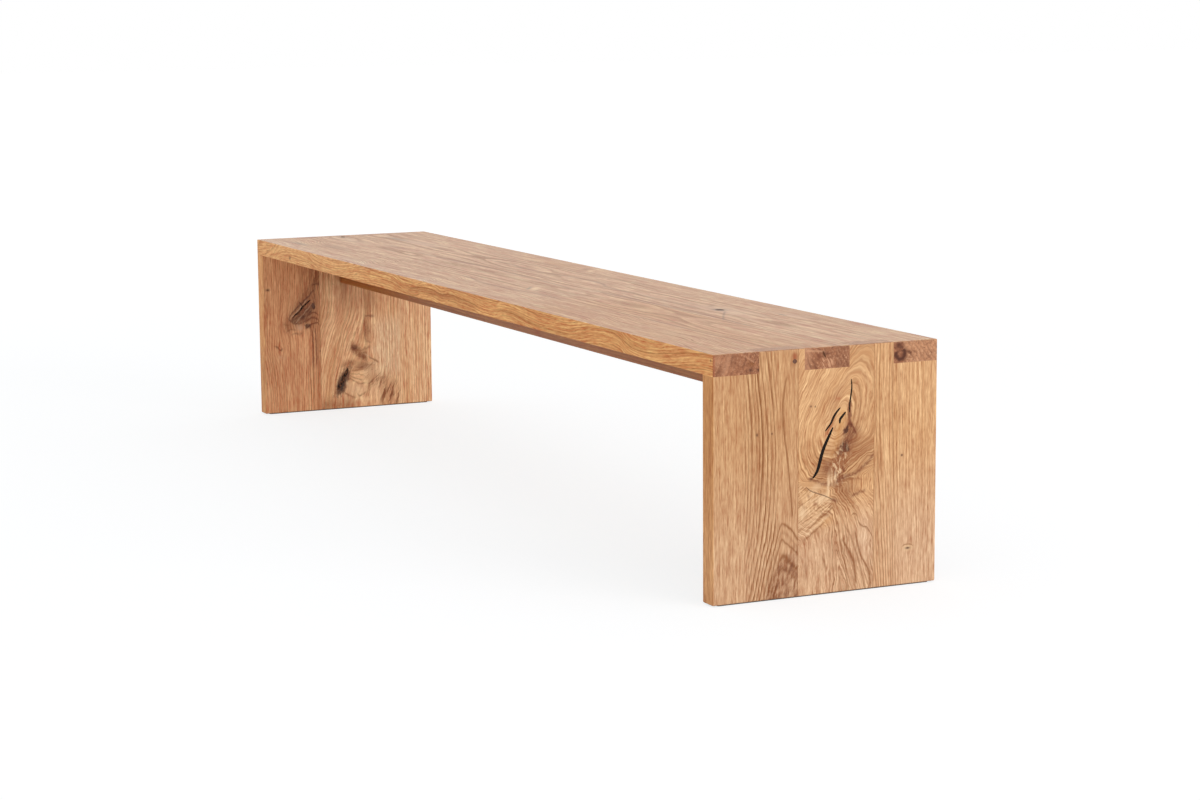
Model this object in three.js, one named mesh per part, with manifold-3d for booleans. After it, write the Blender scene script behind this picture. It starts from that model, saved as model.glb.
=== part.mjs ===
// A long rustic oak bench: a slab seat on two slab legs, with large finger joints at both ends.
// Lengths are millimetres. X runs along the seat, the front edge faces -Y and Z is up.
// The origin is on the floor, under the middle of the seat.
import * as THREE from 'three';
import { mergeVertices } from 'three/addons/utils/BufferGeometryUtils.js';
import Module from 'manifold-3d';

const wasm = await Module();
wasm.setup();

// Driving dimensions
const seatLength = 2500;
const benchWidth = 460;
const seatHeight = 450;
const boardThickness = 39;
const stripThickness = 2;

// Finger joints: equal divisions across the width, the seat takes the first, third and fifth
const fingerCount = 5;

// Staves glued into each slab, as shares of the width, from the front edge to the back
const seatStaveShares = [0.274, 0.265, 0.304, 0.157];
const rightLegStaveShares = [0.373, 0.34, 0.287];
const leftLegStaveShares = [0.33, 0.477, 0.193];

// Worn edges
const edgeEase = 1.5;
const topCornerRadius = 2.5;
const footCornerRadius = 3;
const easeSteps = 3;

// Centre rail
const railHeight = 80;
const railThickness = 39;
const railEase = 2;
const railEndFit = 0.3;

// Dowels
const dowelRadius = 5;
const dowelChamfer = 1;
const dowelSides = 12;
const dowelInLeg = 22;
const dowelInRail = 34;
const dowelInSeat = 22;
const dowelUnderSeat = 28;
const dowelFit = 0.3;
const railEndDowelHeightShares = [0.28, 0.72];
const seatDowelCount = 5;

// Felt strips under the legs
const stripWidth = 30;
const stripInset = 12;
const stripCornerRadius = 4;

// Black filler in cracks and knots
const fillDepth = 14;
const fillSink = 0.3;
const fillFit = 0.3;
const strokeSteps = 10;
const knotSteps = 24;
const crackTipShare = 0.3;
const knotOutlineShares = [1, 0.84, 1.04, 0.9, 1, 0.8, 0.96, 0.88];

// How far a cutter runs past the face that it opens
const overrun = 5;

// Colours, as the light shows them on the bench
const seatColours = ['#c39363', '#c89b6c', '#bb8c5d', '#c69768'];
const legColours = ['#cfa276', '#d8ad82', '#d3a678'];
const railColour = '#875639';
const dowelColour = '#d9bd92';
const feltColour = '#3a3532';
const fillerColour = '#14110f';

const xAxis = new THREE.Vector3(1, 0, 0);
const yAxis = new THREE.Vector3(0, 1, 0);
const zAxis = new THREE.Vector3(0, 0, 1);

// Places worked out from the driving dimensions
const halfLength = seatLength / 2;
const halfWidth = benchWidth / 2;
const legInnerX = halfLength - boardThickness;
const undersideZ = seatHeight - boardThickness;
const railBottomZ = undersideZ - railHeight;
const pastEnd = halfLength + overrun;
const pastSide = halfWidth + overrun;
const pastTop = seatHeight + overrun;

// A closed geometry as a solid that can be cut and joined
function solidOf(geometry) {
  const bare = new THREE.BufferGeometry();
  bare.setAttribute('position', geometry.attributes.position.clone());
  if (geometry.index) bare.setIndex(geometry.index.clone());
  const merged = mergeVertices(bare);
  return new wasm.Manifold(new wasm.Mesh({
    numProp: 3,
    vertProperties: Float32Array.from(merged.attributes.position.array),
    triVerts: Uint32Array.from(merged.index.array),
  }));
}

function geometryOf(solid) {
  const { vertProperties, triVerts } = solid.getMesh();
  const indexed = new THREE.BufferGeometry();
  indexed.setAttribute('position', new THREE.BufferAttribute(vertProperties, 3));
  indexed.setIndex(new THREE.BufferAttribute(triVerts, 1));
  const geometry = indexed.toNonIndexed();
  geometry.computeVertexNormals();
  return geometry;
}

// A box between two corners, whose faces lie exactly on the given coordinates
function block([lowX, lowY, lowZ], [highX, highY, highZ]) {
  const box = new THREE.BoxGeometry(1, 1, 1);
  const corners = box.attributes.position;
  for (let i = 0; i < corners.count; i += 1) {
    const x = corners.getX(i) > 0 ? highX : lowX;
    const y = corners.getY(i) > 0 ? highY : lowY;
    const z = corners.getZ(i) > 0 ? highZ : lowZ;
    corners.setXYZ(i, x, y, z);
  }
  return solidOf(box);
}

// A flat outline through corners [x, y, radius], with each corner rounded to its radius
function roundedOutline(corners) {
  const outline = new THREE.Shape();
  corners.forEach(([x, y, radius], i) => {
    const corner = new THREE.Vector2(x, y);
    const before = new THREE.Vector2(...corners.at(i - 1));
    const after = new THREE.Vector2(...corners[(i + 1) % corners.length]);
    const start = before.sub(corner).setLength(radius).add(corner);
    const end = after.sub(corner).setLength(radius).add(corner);
    if (i === 0) outline.moveTo(start.x, start.y);
    else outline.lineTo(start.x, start.y);
    if (radius > 0) outline.quadraticCurveTo(x, y, end.x, end.y);
  });
  outline.closePath();
  return outline;
}

// A matrix that carries an outline's right, up and outward directions to the bench
function frameOf(right, up, outward, x, y, z) {
  return new THREE.Matrix4().makeBasis(right, up, outward).setPosition(x, y, z);
}

function material(colour, roughness) {
  return new THREE.MeshStandardMaterial({ color: colour, roughness, metalness: 0 });
}

function namedMesh(name, geometry, colour, roughness) {
  const mesh = new THREE.Mesh(geometry, material(colour, roughness));
  mesh.name = name;
  return mesh;
}

// The whole bench as one piece of wood, with its worn edges, from which every stave is sawn
function benchEnvelope() {
  const foot = footCornerRadius;
  const profile = roundedOutline([
    [-halfLength, stripThickness, foot],
    [-legInnerX, stripThickness, foot],
    [-legInnerX, undersideZ, 0],
    [legInnerX, undersideZ, 0],
    [legInnerX, stripThickness, foot],
    [halfLength, stripThickness, foot],
    [halfLength, seatHeight, topCornerRadius],
    [-halfLength, seatHeight, topCornerRadius],
  ]);
  const geometry = new THREE.ExtrudeGeometry(profile, {
    depth: benchWidth - 2 * edgeEase,
    bevelThickness: edgeEase,
    bevelSize: edgeEase,
    bevelOffset: -edgeEase,
    bevelSegments: easeSteps,
    curveSegments: easeSteps,
  });
  const forward = yAxis.clone().negate();
  geometry.applyMatrix4(frameOf(xAxis, zAxis, forward, 0, halfWidth - edgeEase, 0));
  return solidOf(geometry);
}

// The y places where a slab's staves meet, from the front edge to the back
function seams(shares) {
  let reached = 0;
  const inner = shares.slice(0, -1).map((share) => {
    reached += share;
    return -halfWidth + reached * benchWidth;
  });
  return [-pastSide, ...inner, pastSide];
}

// The parts of both ends that belong to the seat's fingers, or to the legs' fingers
function fingerBlocks(ofSeat) {
  const blocks = [];
  for (let i = 0; i < fingerCount; i += 1) {
    const seatOwns = i % 2 === 0;
    if (seatOwns !== ofSeat) continue;
    const isLast = i === fingerCount - 1;
    const front = i === 0 ? -pastSide : -halfWidth + (i * benchWidth) / fingerCount;
    const back = isLast ? pastSide : -halfWidth + ((i + 1) * benchWidth) / fingerCount;
    blocks.push(block([legInnerX, front, undersideZ], [pastEnd, back, pastTop]));
    blocks.push(block([-pastEnd, front, undersideZ], [-legInnerX, back, pastTop]));
  }
  return blocks.reduce((all, one) => all.add(one));
}

// Dowels
function dowelGeometry(radius, length, chamfer) {
  const profile = [
    new THREE.Vector2(0, -length / 2),
    new THREE.Vector2(radius - chamfer, -length / 2),
    new THREE.Vector2(radius, -length / 2 + chamfer),
    new THREE.Vector2(radius, length / 2 - chamfer),
    new THREE.Vector2(radius - chamfer, length / 2),
    new THREE.Vector2(0, length / 2),
  ];
  return new THREE.LatheGeometry(profile, dowelSides);
}

function dowel(name, length, place, turn) {
  const mesh = namedMesh(name, dowelGeometry(dowelRadius, length, dowelChamfer), dowelColour, 0.7);
  mesh.position.set(...place);
  mesh.rotation.set(...turn);
  mesh.updateMatrix();
  const hole = dowelGeometry(dowelRadius + dowelFit, length + 2 * dowelFit, dowelChamfer);
  return { mesh, hole: solidOf(hole.applyMatrix4(mesh.matrix)) };
}

function railEndDowels() {
  const dowels = [];
  const middleX = legInnerX + (dowelInLeg - dowelInRail) / 2;
  for (const [side, sign] of [['right', 1], ['left', -1]]) {
    railEndDowelHeightShares.forEach((share, i) => {
      const place = [sign * middleX, 0, railBottomZ + share * railHeight];
      const name = `rail_end_dowel_${side}_${i + 1}`;
      dowels.push(dowel(name, dowelInLeg + dowelInRail, place, [0, 0, Math.PI / 2]));
    });
  }
  return dowels;
}

function railSeatDowels() {
  const dowels = [];
  const pitch = (2 * legInnerX) / seatDowelCount;
  const middleZ = undersideZ + (dowelInSeat - dowelUnderSeat) / 2;
  for (let i = 0; i < seatDowelCount; i += 1) {
    const place = [(i - (seatDowelCount - 1) / 2) * pitch, 0, middleZ];
    dowels.push(dowel(`rail_seat_dowel_${i + 1}`, dowelInSeat + dowelUnderSeat, place, [Math.PI / 2, 0, 0]));
  }
  return dowels;
}

// The faces that carry filled cracks and knots: where the face's corner lies, and its two sides
const rightEndFace = {
  frame: frameOf(yAxis, zAxis, xAxis, halfLength, -halfWidth, 0),
  sides: [benchWidth, seatHeight],
};
const leftLegInnerFace = {
  frame: frameOf(yAxis, zAxis, xAxis, -legInnerX, -halfWidth, 0),
  sides: [benchWidth, seatHeight],
};
const seatTopFace = {
  frame: frameOf(xAxis, yAxis, zAxis, -halfLength, -halfWidth, seatHeight),
  sides: [seatLength, benchWidth],
};

// Cracks: a width, and a middle line in shares of the face's two sides
const cracks = [
  {
    name: 'right_leg_main_crack_fill',
    face: rightEndFace,
    width: 6.2,
    lineShares: [[0.527, 0.675], [0.503, 0.629], [0.483, 0.587], [0.469, 0.54], [0.457, 0.503], [0.438, 0.478]],
  },
  {
    name: 'right_leg_branch_crack_fill',
    face: rightEndFace,
    width: 3.8,
    lineShares: [[0.56, 0.752], [0.541, 0.733], [0.528, 0.713], [0.517, 0.691], [0.493, 0.663]],
  },
  {
    name: 'right_leg_thin_crack_fill',
    face: rightEndFace,
    width: 2.6,
    lineShares: [[0.608, 0.864], [0.611, 0.833], [0.607, 0.798], [0.602, 0.764], [0.601, 0.731]],
  },
  {
    name: 'right_leg_short_crack_fill',
    face: rightEndFace,
    width: 4.4,
    lineShares: [[0.584, 0.733], [0.569, 0.717], [0.559, 0.705], [0.558, 0.689]],
  },
  {
    name: 'left_leg_long_crack_fill',
    face: leftLegInnerFace,
    width: 4.6,
    lineShares: [[0.276, 0.647], [0.25, 0.625], [0.225, 0.604], [0.204, 0.577], [0.184, 0.565], [0.167, 0.545]],
  },
  {
    name: 'left_leg_knot_hole_fill',
    face: leftLegInnerFace,
    width: 9,
    lineShares: [[0.488, 0.236], [0.479, 0.206], [0.462, 0.186], [0.456, 0.16], [0.438, 0.139], [0.43, 0.113]],
  },
  {
    name: 'seat_end_crack_fill',
    face: rightEndFace,
    width: 2.4,
    lineShares: [[0.481, 0.983], [0.485, 0.972], [0.492, 0.96]],
  },
];

// Knots: a middle in shares of the face's two sides, two radii, and how far the oval leans
const knots = [
  {
    name: 'right_leg_lower_knot_fill',
    face: rightEndFace,
    middleShares: [0.571, 0.592],
    radii: [9, 6],
    lean: Math.PI / 5,
  },
  {
    name: 'right_leg_upper_knot_fill',
    face: rightEndFace,
    middleShares: [0.601, 0.672],
    radii: [6, 4.5],
    lean: Math.PI / 4,
  },
  {
    name: 'right_leg_pin_knot_fill',
    face: rightEndFace,
    middleShares: [0.3565, 0.951],
    radii: [4.4, 4],
    lean: 0,
  },
  {
    name: 'left_leg_side_knot_fill',
    face: leftLegInnerFace,
    middleShares: [0.29, 0.612],
    radii: [4.5, 7],
    lean: 0,
  },
  {
    name: 'seat_knot_fill_right',
    face: seatTopFace,
    middleShares: [0.768, 0.7],
    radii: [11, 8],
    lean: Math.PI / 6,
  },
  {
    name: 'seat_knot_fill_left',
    face: seatTopFace,
    middleShares: [0.02, 0.467],
    radii: [12, 6],
    lean: 0,
  },
];

// A crack's outline: a band along its middle line that narrows to blunt tips
function crackOutline({ face, width, lineShares }, extra) {
  const [across, along] = face.sides;
  const points = lineShares.map(([right, up]) => new THREE.Vector2(right * across, up * along));
  const line = new THREE.SplineCurve(points);
  const left = [];
  const right = [];
  for (let i = 0; i <= strokeSteps; i += 1) {
    const t = i / strokeSteps;
    const swell = crackTipShare + (1 - crackTipShare) * Math.sqrt(Math.sin(Math.PI * t));
    const side = line.getTangent(t).rotateAround(new THREE.Vector2(), Math.PI / 2);
    const half = (swell * width) / 2 + extra;
    const stretch = line.getTangent(t).multiplyScalar((2 * t - 1) * extra);
    const middle = line.getPoint(t).add(stretch);
    left.push(middle.clone().addScaledVector(side, half));
    right.unshift(middle.clone().addScaledVector(side, -half));
  }
  return new THREE.Shape([...left, ...right].reverse());
}

// A knot's outline: an oval with an uneven edge
function knotOutline({ face, middleShares, radii, lean }, extra) {
  const [across, along] = face.sides;
  const middle = new THREE.Vector2(middleShares[0] * across, middleShares[1] * along);
  const points = knotOutlineShares.map((share, i) => {
    const angle = (2 * Math.PI * i) / knotOutlineShares.length;
    const x = (radii[0] * share + extra) * Math.cos(angle);
    const y = (radii[1] * share + extra) * Math.sin(angle);
    return new THREE.Vector3(x, y, 0).applyAxisAngle(zAxis, lean);
  });
  const rim = new THREE.CatmullRomCurve3(points, true).getPoints(knotSteps).slice(0, -1);
  return new THREE.Shape(rim.map((point) => new THREE.Vector2(point.x, point.y).add(middle)));
}

// One filled hole: the filler as a mesh, and the pocket that it lies in
function filledHole(hole, outlineOf) {
  const filler = new THREE.ExtrudeGeometry(outlineOf(hole, 0), {
    depth: fillDepth - fillSink,
    bevelEnabled: false,
  });
  filler.translate(0, 0, -fillDepth);
  const pocketDepth = fillDepth + fillFit;
  const pocket = new THREE.ExtrudeGeometry(outlineOf(hole, fillFit), {
    depth: pocketDepth + overrun,
    bevelEnabled: false,
  });
  pocket.translate(0, 0, -pocketDepth);
  const mesh = namedMesh(hole.name, filler, fillerColour, 0.35);
  mesh.applyMatrix4(hole.face.frame);
  return { mesh, pocket: solidOf(pocket.applyMatrix4(hole.face.frame)) };
}

// Wooden slabs, sawn from the envelope into staves
function sawStaves(slab, shares, prefix, colours, cuts) {
  const lines = seams(shares);
  return shares.map((share, i) => {
    const slice = block([-pastEnd, lines[i], -overrun], [pastEnd, lines[i + 1], pastTop]);
    const stave = cuts.reduce((wood, cut) => wood.subtract(cut), slab.intersect(slice));
    return namedMesh(`${prefix}_stave_${i + 1}`, geometryOf(stave), colours[i % colours.length], 0.5);
  });
}

function centreRail(holes) {
  const half = railThickness / 2;
  const section = roundedOutline([
    [-half, railBottomZ, railEase],
    [half, railBottomZ, railEase],
    [half, undersideZ, 0],
    [-half, undersideZ, 0],
  ]);
  const length = 2 * (legInnerX - railEndFit);
  const geometry = new THREE.ExtrudeGeometry(section, {
    depth: length,
    bevelEnabled: false,
    curveSegments: easeSteps,
  });
  geometry.applyMatrix4(frameOf(yAxis, zAxis, xAxis, -length / 2, 0, 0));
  const rail = holes.reduce((wood, hole) => wood.subtract(hole), solidOf(geometry));
  return namedMesh('centre_rail', geometryOf(rail), railColour, 0.6);
}

function feltStrip(name, middleX) {
  const halfStrip = stripWidth / 2;
  const reach = halfWidth - stripInset;
  const outline = roundedOutline([
    [-halfStrip, -reach, stripCornerRadius],
    [halfStrip, -reach, stripCornerRadius],
    [halfStrip, reach, stripCornerRadius],
    [-halfStrip, reach, stripCornerRadius],
  ]);
  const geometry = new THREE.ExtrudeGeometry(outline, {
    depth: stripThickness,
    bevelEnabled: false,
    curveSegments: easeSteps,
  });
  const mesh = namedMesh(name, geometry, feltColour, 1);
  mesh.position.x = middleX;
  return mesh;
}

// Putting the bench together
const envelope = benchEnvelope();
const seatFingers = fingerBlocks(true);
const legFingers = fingerBlocks(false);
const seatLayer = block([-pastEnd, -pastSide, undersideZ], [pastEnd, pastSide, pastTop]);
const rightLayer = block([legInnerX, -pastSide, -overrun], [pastEnd, pastSide, pastTop]);
const leftLayer = block([-pastEnd, -pastSide, -overrun], [-legInnerX, pastSide, pastTop]);
const seatSlab = envelope.intersect(seatLayer).subtract(legFingers);
const rightLegSlab = envelope.intersect(rightLayer).subtract(seatFingers);
const leftLegSlab = envelope.intersect(leftLayer).subtract(seatFingers);

const dowels = [...railEndDowels(), ...railSeatDowels()];
const dowelHoles = dowels.map((one) => one.hole);
const fills = [
  ...cracks.map((crack) => filledHole(crack, crackOutline)),
  ...knots.map((knot) => filledHole(knot, knotOutline)),
];
const cuts = [...dowelHoles, ...fills.map((one) => one.pocket)];

const seat = new THREE.Group();
seat.add(...sawStaves(seatSlab, seatStaveShares, 'seat', seatColours, cuts));

const rightLeg = new THREE.Group();
rightLeg.add(...sawStaves(rightLegSlab, rightLegStaveShares, 'right_leg', legColours, cuts));
rightLeg.add(feltStrip('right_leg_felt_strip', halfLength - boardThickness / 2));

const leftLeg = new THREE.Group();
leftLeg.add(...sawStaves(leftLegSlab, leftLegStaveShares, 'left_leg', legColours, cuts));
leftLeg.add(feltStrip('left_leg_felt_strip', -halfLength + boardThickness / 2));

const stiffening = new THREE.Group();
stiffening.add(centreRail(dowelHoles), ...dowels.map((one) => one.mesh));

const filler = new THREE.Group();
filler.add(...fills.map((one) => one.mesh));

const bench = new THREE.Group();
bench.add(seat, rightLeg, leftLeg, stiffening, filler);

export default bench;
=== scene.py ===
# %% [markdown]
# # A long oak bench with finger joints
#
# The bench is a thick slab seat on two slab legs, joined at both ends by large fingers. The frame below is
# the packed model: every stave, dowel, felt strip and filled crack is already an object, in metres, in its
# place. Nothing is moved or reshaped here, so the work that is left is the wood itself: colour, grain, knots
# and sheen.

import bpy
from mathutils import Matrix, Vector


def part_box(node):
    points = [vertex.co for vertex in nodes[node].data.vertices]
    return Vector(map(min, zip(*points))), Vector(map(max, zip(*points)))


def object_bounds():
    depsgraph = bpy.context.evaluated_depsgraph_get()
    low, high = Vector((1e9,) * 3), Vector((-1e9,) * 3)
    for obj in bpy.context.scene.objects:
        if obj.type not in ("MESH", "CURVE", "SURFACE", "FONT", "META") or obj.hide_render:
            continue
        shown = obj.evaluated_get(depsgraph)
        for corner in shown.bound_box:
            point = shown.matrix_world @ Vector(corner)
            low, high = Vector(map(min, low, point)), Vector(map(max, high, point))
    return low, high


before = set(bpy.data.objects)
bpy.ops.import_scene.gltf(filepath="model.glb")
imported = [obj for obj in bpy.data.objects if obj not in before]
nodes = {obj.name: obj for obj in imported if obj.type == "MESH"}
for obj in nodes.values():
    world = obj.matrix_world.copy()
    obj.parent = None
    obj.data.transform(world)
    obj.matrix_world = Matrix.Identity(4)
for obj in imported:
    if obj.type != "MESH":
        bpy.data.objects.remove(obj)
cad_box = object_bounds()
print("pieces of the bench:", len(nodes))

# %% [markdown]
# ## Sizes that the rest of the script is built on
#
# The size of the whole box comes from the frame. A joiner thinks in millimetres, and grain is easier to
# describe in them too, so every place on a board below is in millimetres from its front edge, its top or its
# shown face.

# %% Measure the bench
import math

import bpy
from mathutils import Matrix, Vector

MM = 1000
low_corner, high_corner = cad_box
bench_length = (high_corner.x - low_corner.x) * MM
bench_width = (high_corner.y - low_corner.y) * MM
bench_height = (high_corner.z - low_corner.z) * MM
board_thickness = bench_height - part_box("right_leg_stave_3")[1].z * MM
print("length, width, height and board:", bench_length, bench_width, bench_height, board_thickness)

# %% [markdown]
# ## The camera
#
# The photograph was taken with a long lens from beyond the right front corner, a little above the seat. The
# angles, distance and focal length below were solved from measured corners of the bench, and the camera is
# built from them directly: its three axes are worked out, and then it is turned by the small roll that the
# horizon of the photograph has.

# %% Place the camera
azimuth = math.radians(64.5749)
elevation = math.radians(8.7055)
roll = math.radians(-0.4225)
distance = 6.02923
aim = Vector((0, 0.14627, 0.17484))
lens_over_width = 2707.65 / 1200
sensor_width = 36

backward = Vector((
    math.sin(azimuth) * math.cos(elevation),
    -math.cos(azimuth) * math.cos(elevation),
    math.sin(elevation),
))
level_right = (-backward).cross(Vector((0, 0, 1))).normalized()
level_up = level_right.cross(-backward)
camera_right = level_right * math.cos(roll) + level_up * math.sin(roll)
camera_up = level_up * math.cos(roll) - level_right * math.sin(roll)

camera_data = bpy.data.cameras.new("photo_camera")
camera_data.sensor_width = sensor_width
camera_data.lens = lens_over_width * sensor_width
camera_data.clip_end = 100
camera = bpy.data.objects.new("photo_camera", camera_data)
bpy.context.scene.collection.objects.link(camera)
turn = Matrix((camera_right, camera_up, backward)).transposed()
camera.matrix_world = Matrix.Translation(aim + backward * distance) @ turn.to_4x4()
bpy.context.scene.camera = camera
print("camera at", tuple(round(value, 3) for value in camera.matrix_world.translation))

# %% [markdown]
# ## Shader maths as plain expressions
#
# A wood finish is mostly arithmetic: how far a point is from the heart of the tree, how many years of growth
# that makes, how dark that part of the year is. Adding each Math node by hand would hide that arithmetic, so
# one small class wraps a socket. An expression on wraps adds the nodes, and any other node comes from `node`.

# %% A wrapped socket
class Wire:
    """A socket of a node tree, used as a value in an expression."""

    def __init__(self, tree, socket=None):
        self.tree = tree
        self.socket = socket

    def node(self, kind, settings=None, sockets=None, output=0):
        """Add a node: its settings first, then the value or link of each socket."""
        made = self.tree.nodes.new(kind)
        for name, value in (settings or {}).items():
            if name == "curve":
                points = made.mapping.curves[0].points
                points[0].location, points[-1].location = value[0], value[-1]
                for place in value[1:-1]:
                    points.new(*place)
                made.mapping.extend = "HORIZONTAL"
                made.mapping.update()
            else:
                setattr(made, name, value)
        for name, value in (sockets or {}).items():
            if isinstance(value, Wire):
                self.tree.links.new(value.socket, made.inputs[name])
            else:
                made.inputs[name].default_value = value
        return Wire(self.tree, made.outputs[output] if made.outputs else None)

    def math(self, operation, *terms):
        return self.node("ShaderNodeMath", {"operation": operation}, dict(enumerate(terms)))

    def __add__(self, other):
        return self.math("ADD", self, other)

    def __sub__(self, other):
        return self.math("SUBTRACT", self, other)

    def __rsub__(self, other):
        return self.math("SUBTRACT", other, self)

    def __mul__(self, other):
        return self.math("MULTIPLY", self, other)

    def __truediv__(self, other):
        return self.math("DIVIDE", self, other)

    __radd__ = __add__
    __rmul__ = __mul__

    def fraction(self):
        return self.math("FRACT", self)

    def root(self):
        return self.math("SQRT", self)

    def larger(self, other):
        return self.math("MAXIMUM", self, other)

    def smaller(self, other):
        return self.math("MINIMUM", self, other)

    def smooth_smaller(self, other, reach):
        return self.math("SMOOTH_MIN", self, other, reach)

    def size(self):
        return self.math("ABSOLUTE", self)

    def bell(self):
        """1 where the value is 0, falling away smoothly on both sides."""
        return self.math("EXPONENT", self * self * -1)

    def step(self, start, end):
        """0 before start and 1 after end, with a smooth climb between; start may be the larger one."""
        return self.node(
            "ShaderNodeMapRange", {"interpolation_type": "SMOOTHSTEP"},
            {"Value": self, "From Min": start, "From Max": end},
        )

    def follow(self, points):
        """A smooth curve through (input, output) points, flat beyond both ends."""
        first, last = points[0][0], points[-1][0]
        lowest = min(value for _, value in points)
        span = max(value for _, value in points) - lowest or 1
        shares = [((place - first) / (last - first), (value - lowest) / span) for place, value in points]
        along = (self - first) / (last - first)
        return self.node("ShaderNodeFloatCurve", {"curve": shares}, {"Value": along}) * span + lowest

    def towards(self, other, share):
        """This value where share is 0, the other where it is 1."""
        return self.node("ShaderNodeMix", {"data_type": "FLOAT"}, {0: share, 2: self, 3: other})


def wire_vector(x, y, z):
    first = next(value for value in (x, y, z) if isinstance(value, Wire))
    return first.node("ShaderNodeCombineXYZ", None, {0: x, 1: y, 2: z})


def noise(vector, detail=2.0, roughness=0.5):
    """Smooth noise about 0, mostly between -1 and 1."""
    raw = vector.node(
        "ShaderNodeTexNoise", None,
        {"Vector": vector, "Scale": 1.0, "Detail": detail, "Roughness": roughness},
    )
    return (raw - 0.5) * 3


def linear(red, green, blue):
    """A colour as the eye sees it on screen, 0 to 255, as the linear colour that a shader takes."""
    parts = [value / 255 for value in (red, green, blue)]
    return [part / 12.92 if part <= 0.04045 else ((part + 0.055) / 1.055) ** 2.4 for part in parts] + [1.0]


def tint(share, first, second):
    """A colour between two, each a linear colour or a wire."""
    return share.node("ShaderNodeMix", {"data_type": "RGBA"}, {0: share, 6: first, 7: second}, output=2)


print("wrapped socket ready:", [name for name in vars(Wire) if not name.startswith("_")])

# %% [markdown]
# ## Where a point lies on its board
#
# Object coordinates of a frame node are the bench's own metres, so each stave can be read like a board on the
# workbench: how far across it, how far along the grain, and how deep under the face that is shown most. The
# pattern of a whole board then continues round its edges and through to its back, as real grain does.

# %% Board coordinates
class Place:
    """Millimetres across the board, along its grain and under its shown face."""

    def __init__(self, across, along, depth, shift=0):
        self.across = across
        self.along = along
        self.depth = depth
        self.shift = shift

    def vector(self, across_reach, along_reach, depth_reach=None, across=None, shift=0):
        """Coordinates for noise whose lumps are about as long as each reach."""
        own = self.across if across is None else across
        return wire_vector(
            own / across_reach + (self.shift + shift),
            self.along / along_reach,
            self.depth / (depth_reach or across_reach),
        )


def object_millimetres(tree):
    spot = Wire(tree).node("ShaderNodeTexCoord", output=3)
    parts = [spot.node("ShaderNodeSeparateXYZ", None, {0: spot}, output=index) for index in range(3)]
    return [part * MM for part in parts]


def seat_place(tree, shift):
    x, y, z = object_millimetres(tree)
    return Place(y + bench_width / 2, x, bench_height - z, shift)


def right_leg_place(tree, shift):
    x, y, z = object_millimetres(tree)
    return Place(y + bench_width / 2, bench_height - z, bench_length / 2 - x, shift)


def left_leg_place(tree, shift):
    x, y, z = object_millimetres(tree)
    return Place(y + bench_width / 2, bench_height - z, (board_thickness - bench_length / 2) - x, shift)


def rail_place(tree, shift):
    x, y, z = object_millimetres(tree)
    return Place((bench_height - board_thickness) - z, x, y + board_thickness / 2, shift)


# %% [markdown]
# ## Oak, from rings to pores
#
# Oak is ring porous. Each spring it grows a band of wide pores, which shows as a darker, coarser line, and
# then denser, smoother summer wood. Where a board cuts the rings nearly square they are straight lines;
# where it runs along them they widen into flames. So every stave below gives a count of rings at each point,
# and the finish turns its fraction into the time of year: a crisp dark start that fades. Fine streaks, pores
# and slow changes of tone follow the fibres, and the stain and the pale figure round a knot are laid over
# them.

# %% The tones of oiled oak
oak_tones = {
    "pale": linear(231, 184, 134),
    "warm": linear(204, 147, 96),
    "line": linear(136, 78, 28),
    "streak": linear(152, 75, 20),
    "brown": linear(146, 86, 48),
    "red": linear(168, 78, 40),
    "stain": linear(74, 34, 14),
    "dark": linear(26, 14, 8),
    "flame": linear(247, 211, 164),
    "beige": linear(226, 188, 154),
    "amber": linear(206, 146, 84),
    "grey": linear(128, 110, 92),
    "rust": linear(116, 56, 26),
    "cream": linear(242, 206, 164),
    "end": linear(176, 116, 80),
    "end line": linear(94, 46, 22),
    "end ray": linear(216, 162, 124),
}


class Grain:
    """One stave's figure: what a stave doesn't set stays as it is here."""

    lines = 1.0  # strength of the line of each spring
    marks = ()  # darker and paler places, laid over the grain
    bands = 1.0  # strength of the slow change between the pale and the warm tone
    reach = 1.0  # how much wider and longer than usual the streaks are
    end_rings = None  # count of rings on the cut end, where it isn't that of the face
    end_marks = ()  # places laid over the cut end
    end_lines = 0.3  # strength of the lines on the cut end
    fields = ()  # broad tones, laid under the streaks and lines
    streaks = 1.0  # strength of the streaks
    depth = None  # a depth that bends with the figure, in place of the board's own

    def __init__(self, rings, fibre, **own):
        """The count of rings at each point, the millimetres across its fibres, and what is its own."""
        self.rings = rings
        self.fibre = fibre
        for name, value in own.items():
            assert hasattr(Grain, name), name
            setattr(self, name, value)


def lay_marks(colour, marks, tones):
    """Lay each mark over the colour: a share of one of the tones."""
    for share, tone in marks:
        colour = tint(share, colour, tones[tone])
    return colour


print("tones of the oak:", ", ".join(oak_tones))

# %% [markdown]
# The face of a board is built up as the eye finds it: slow bands of pale and warm wood, fine streaks along
# the fibre, the dark line of each spring, and the pores in that line. All of them are noise drawn out along
# the fibres, so one helper makes each of them from the size of its lumps.

# %% The long grain of a stave
def swing(share, colour, tone):
    """Like tint, but a share below zero goes the other way, to a paler colour."""
    settings = {"data_type": "RGBA", "clamp_factor": False}
    return share.node("ShaderNodeMix", settings, {0: share, 6: colour, 7: tone}, output=2)


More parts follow.
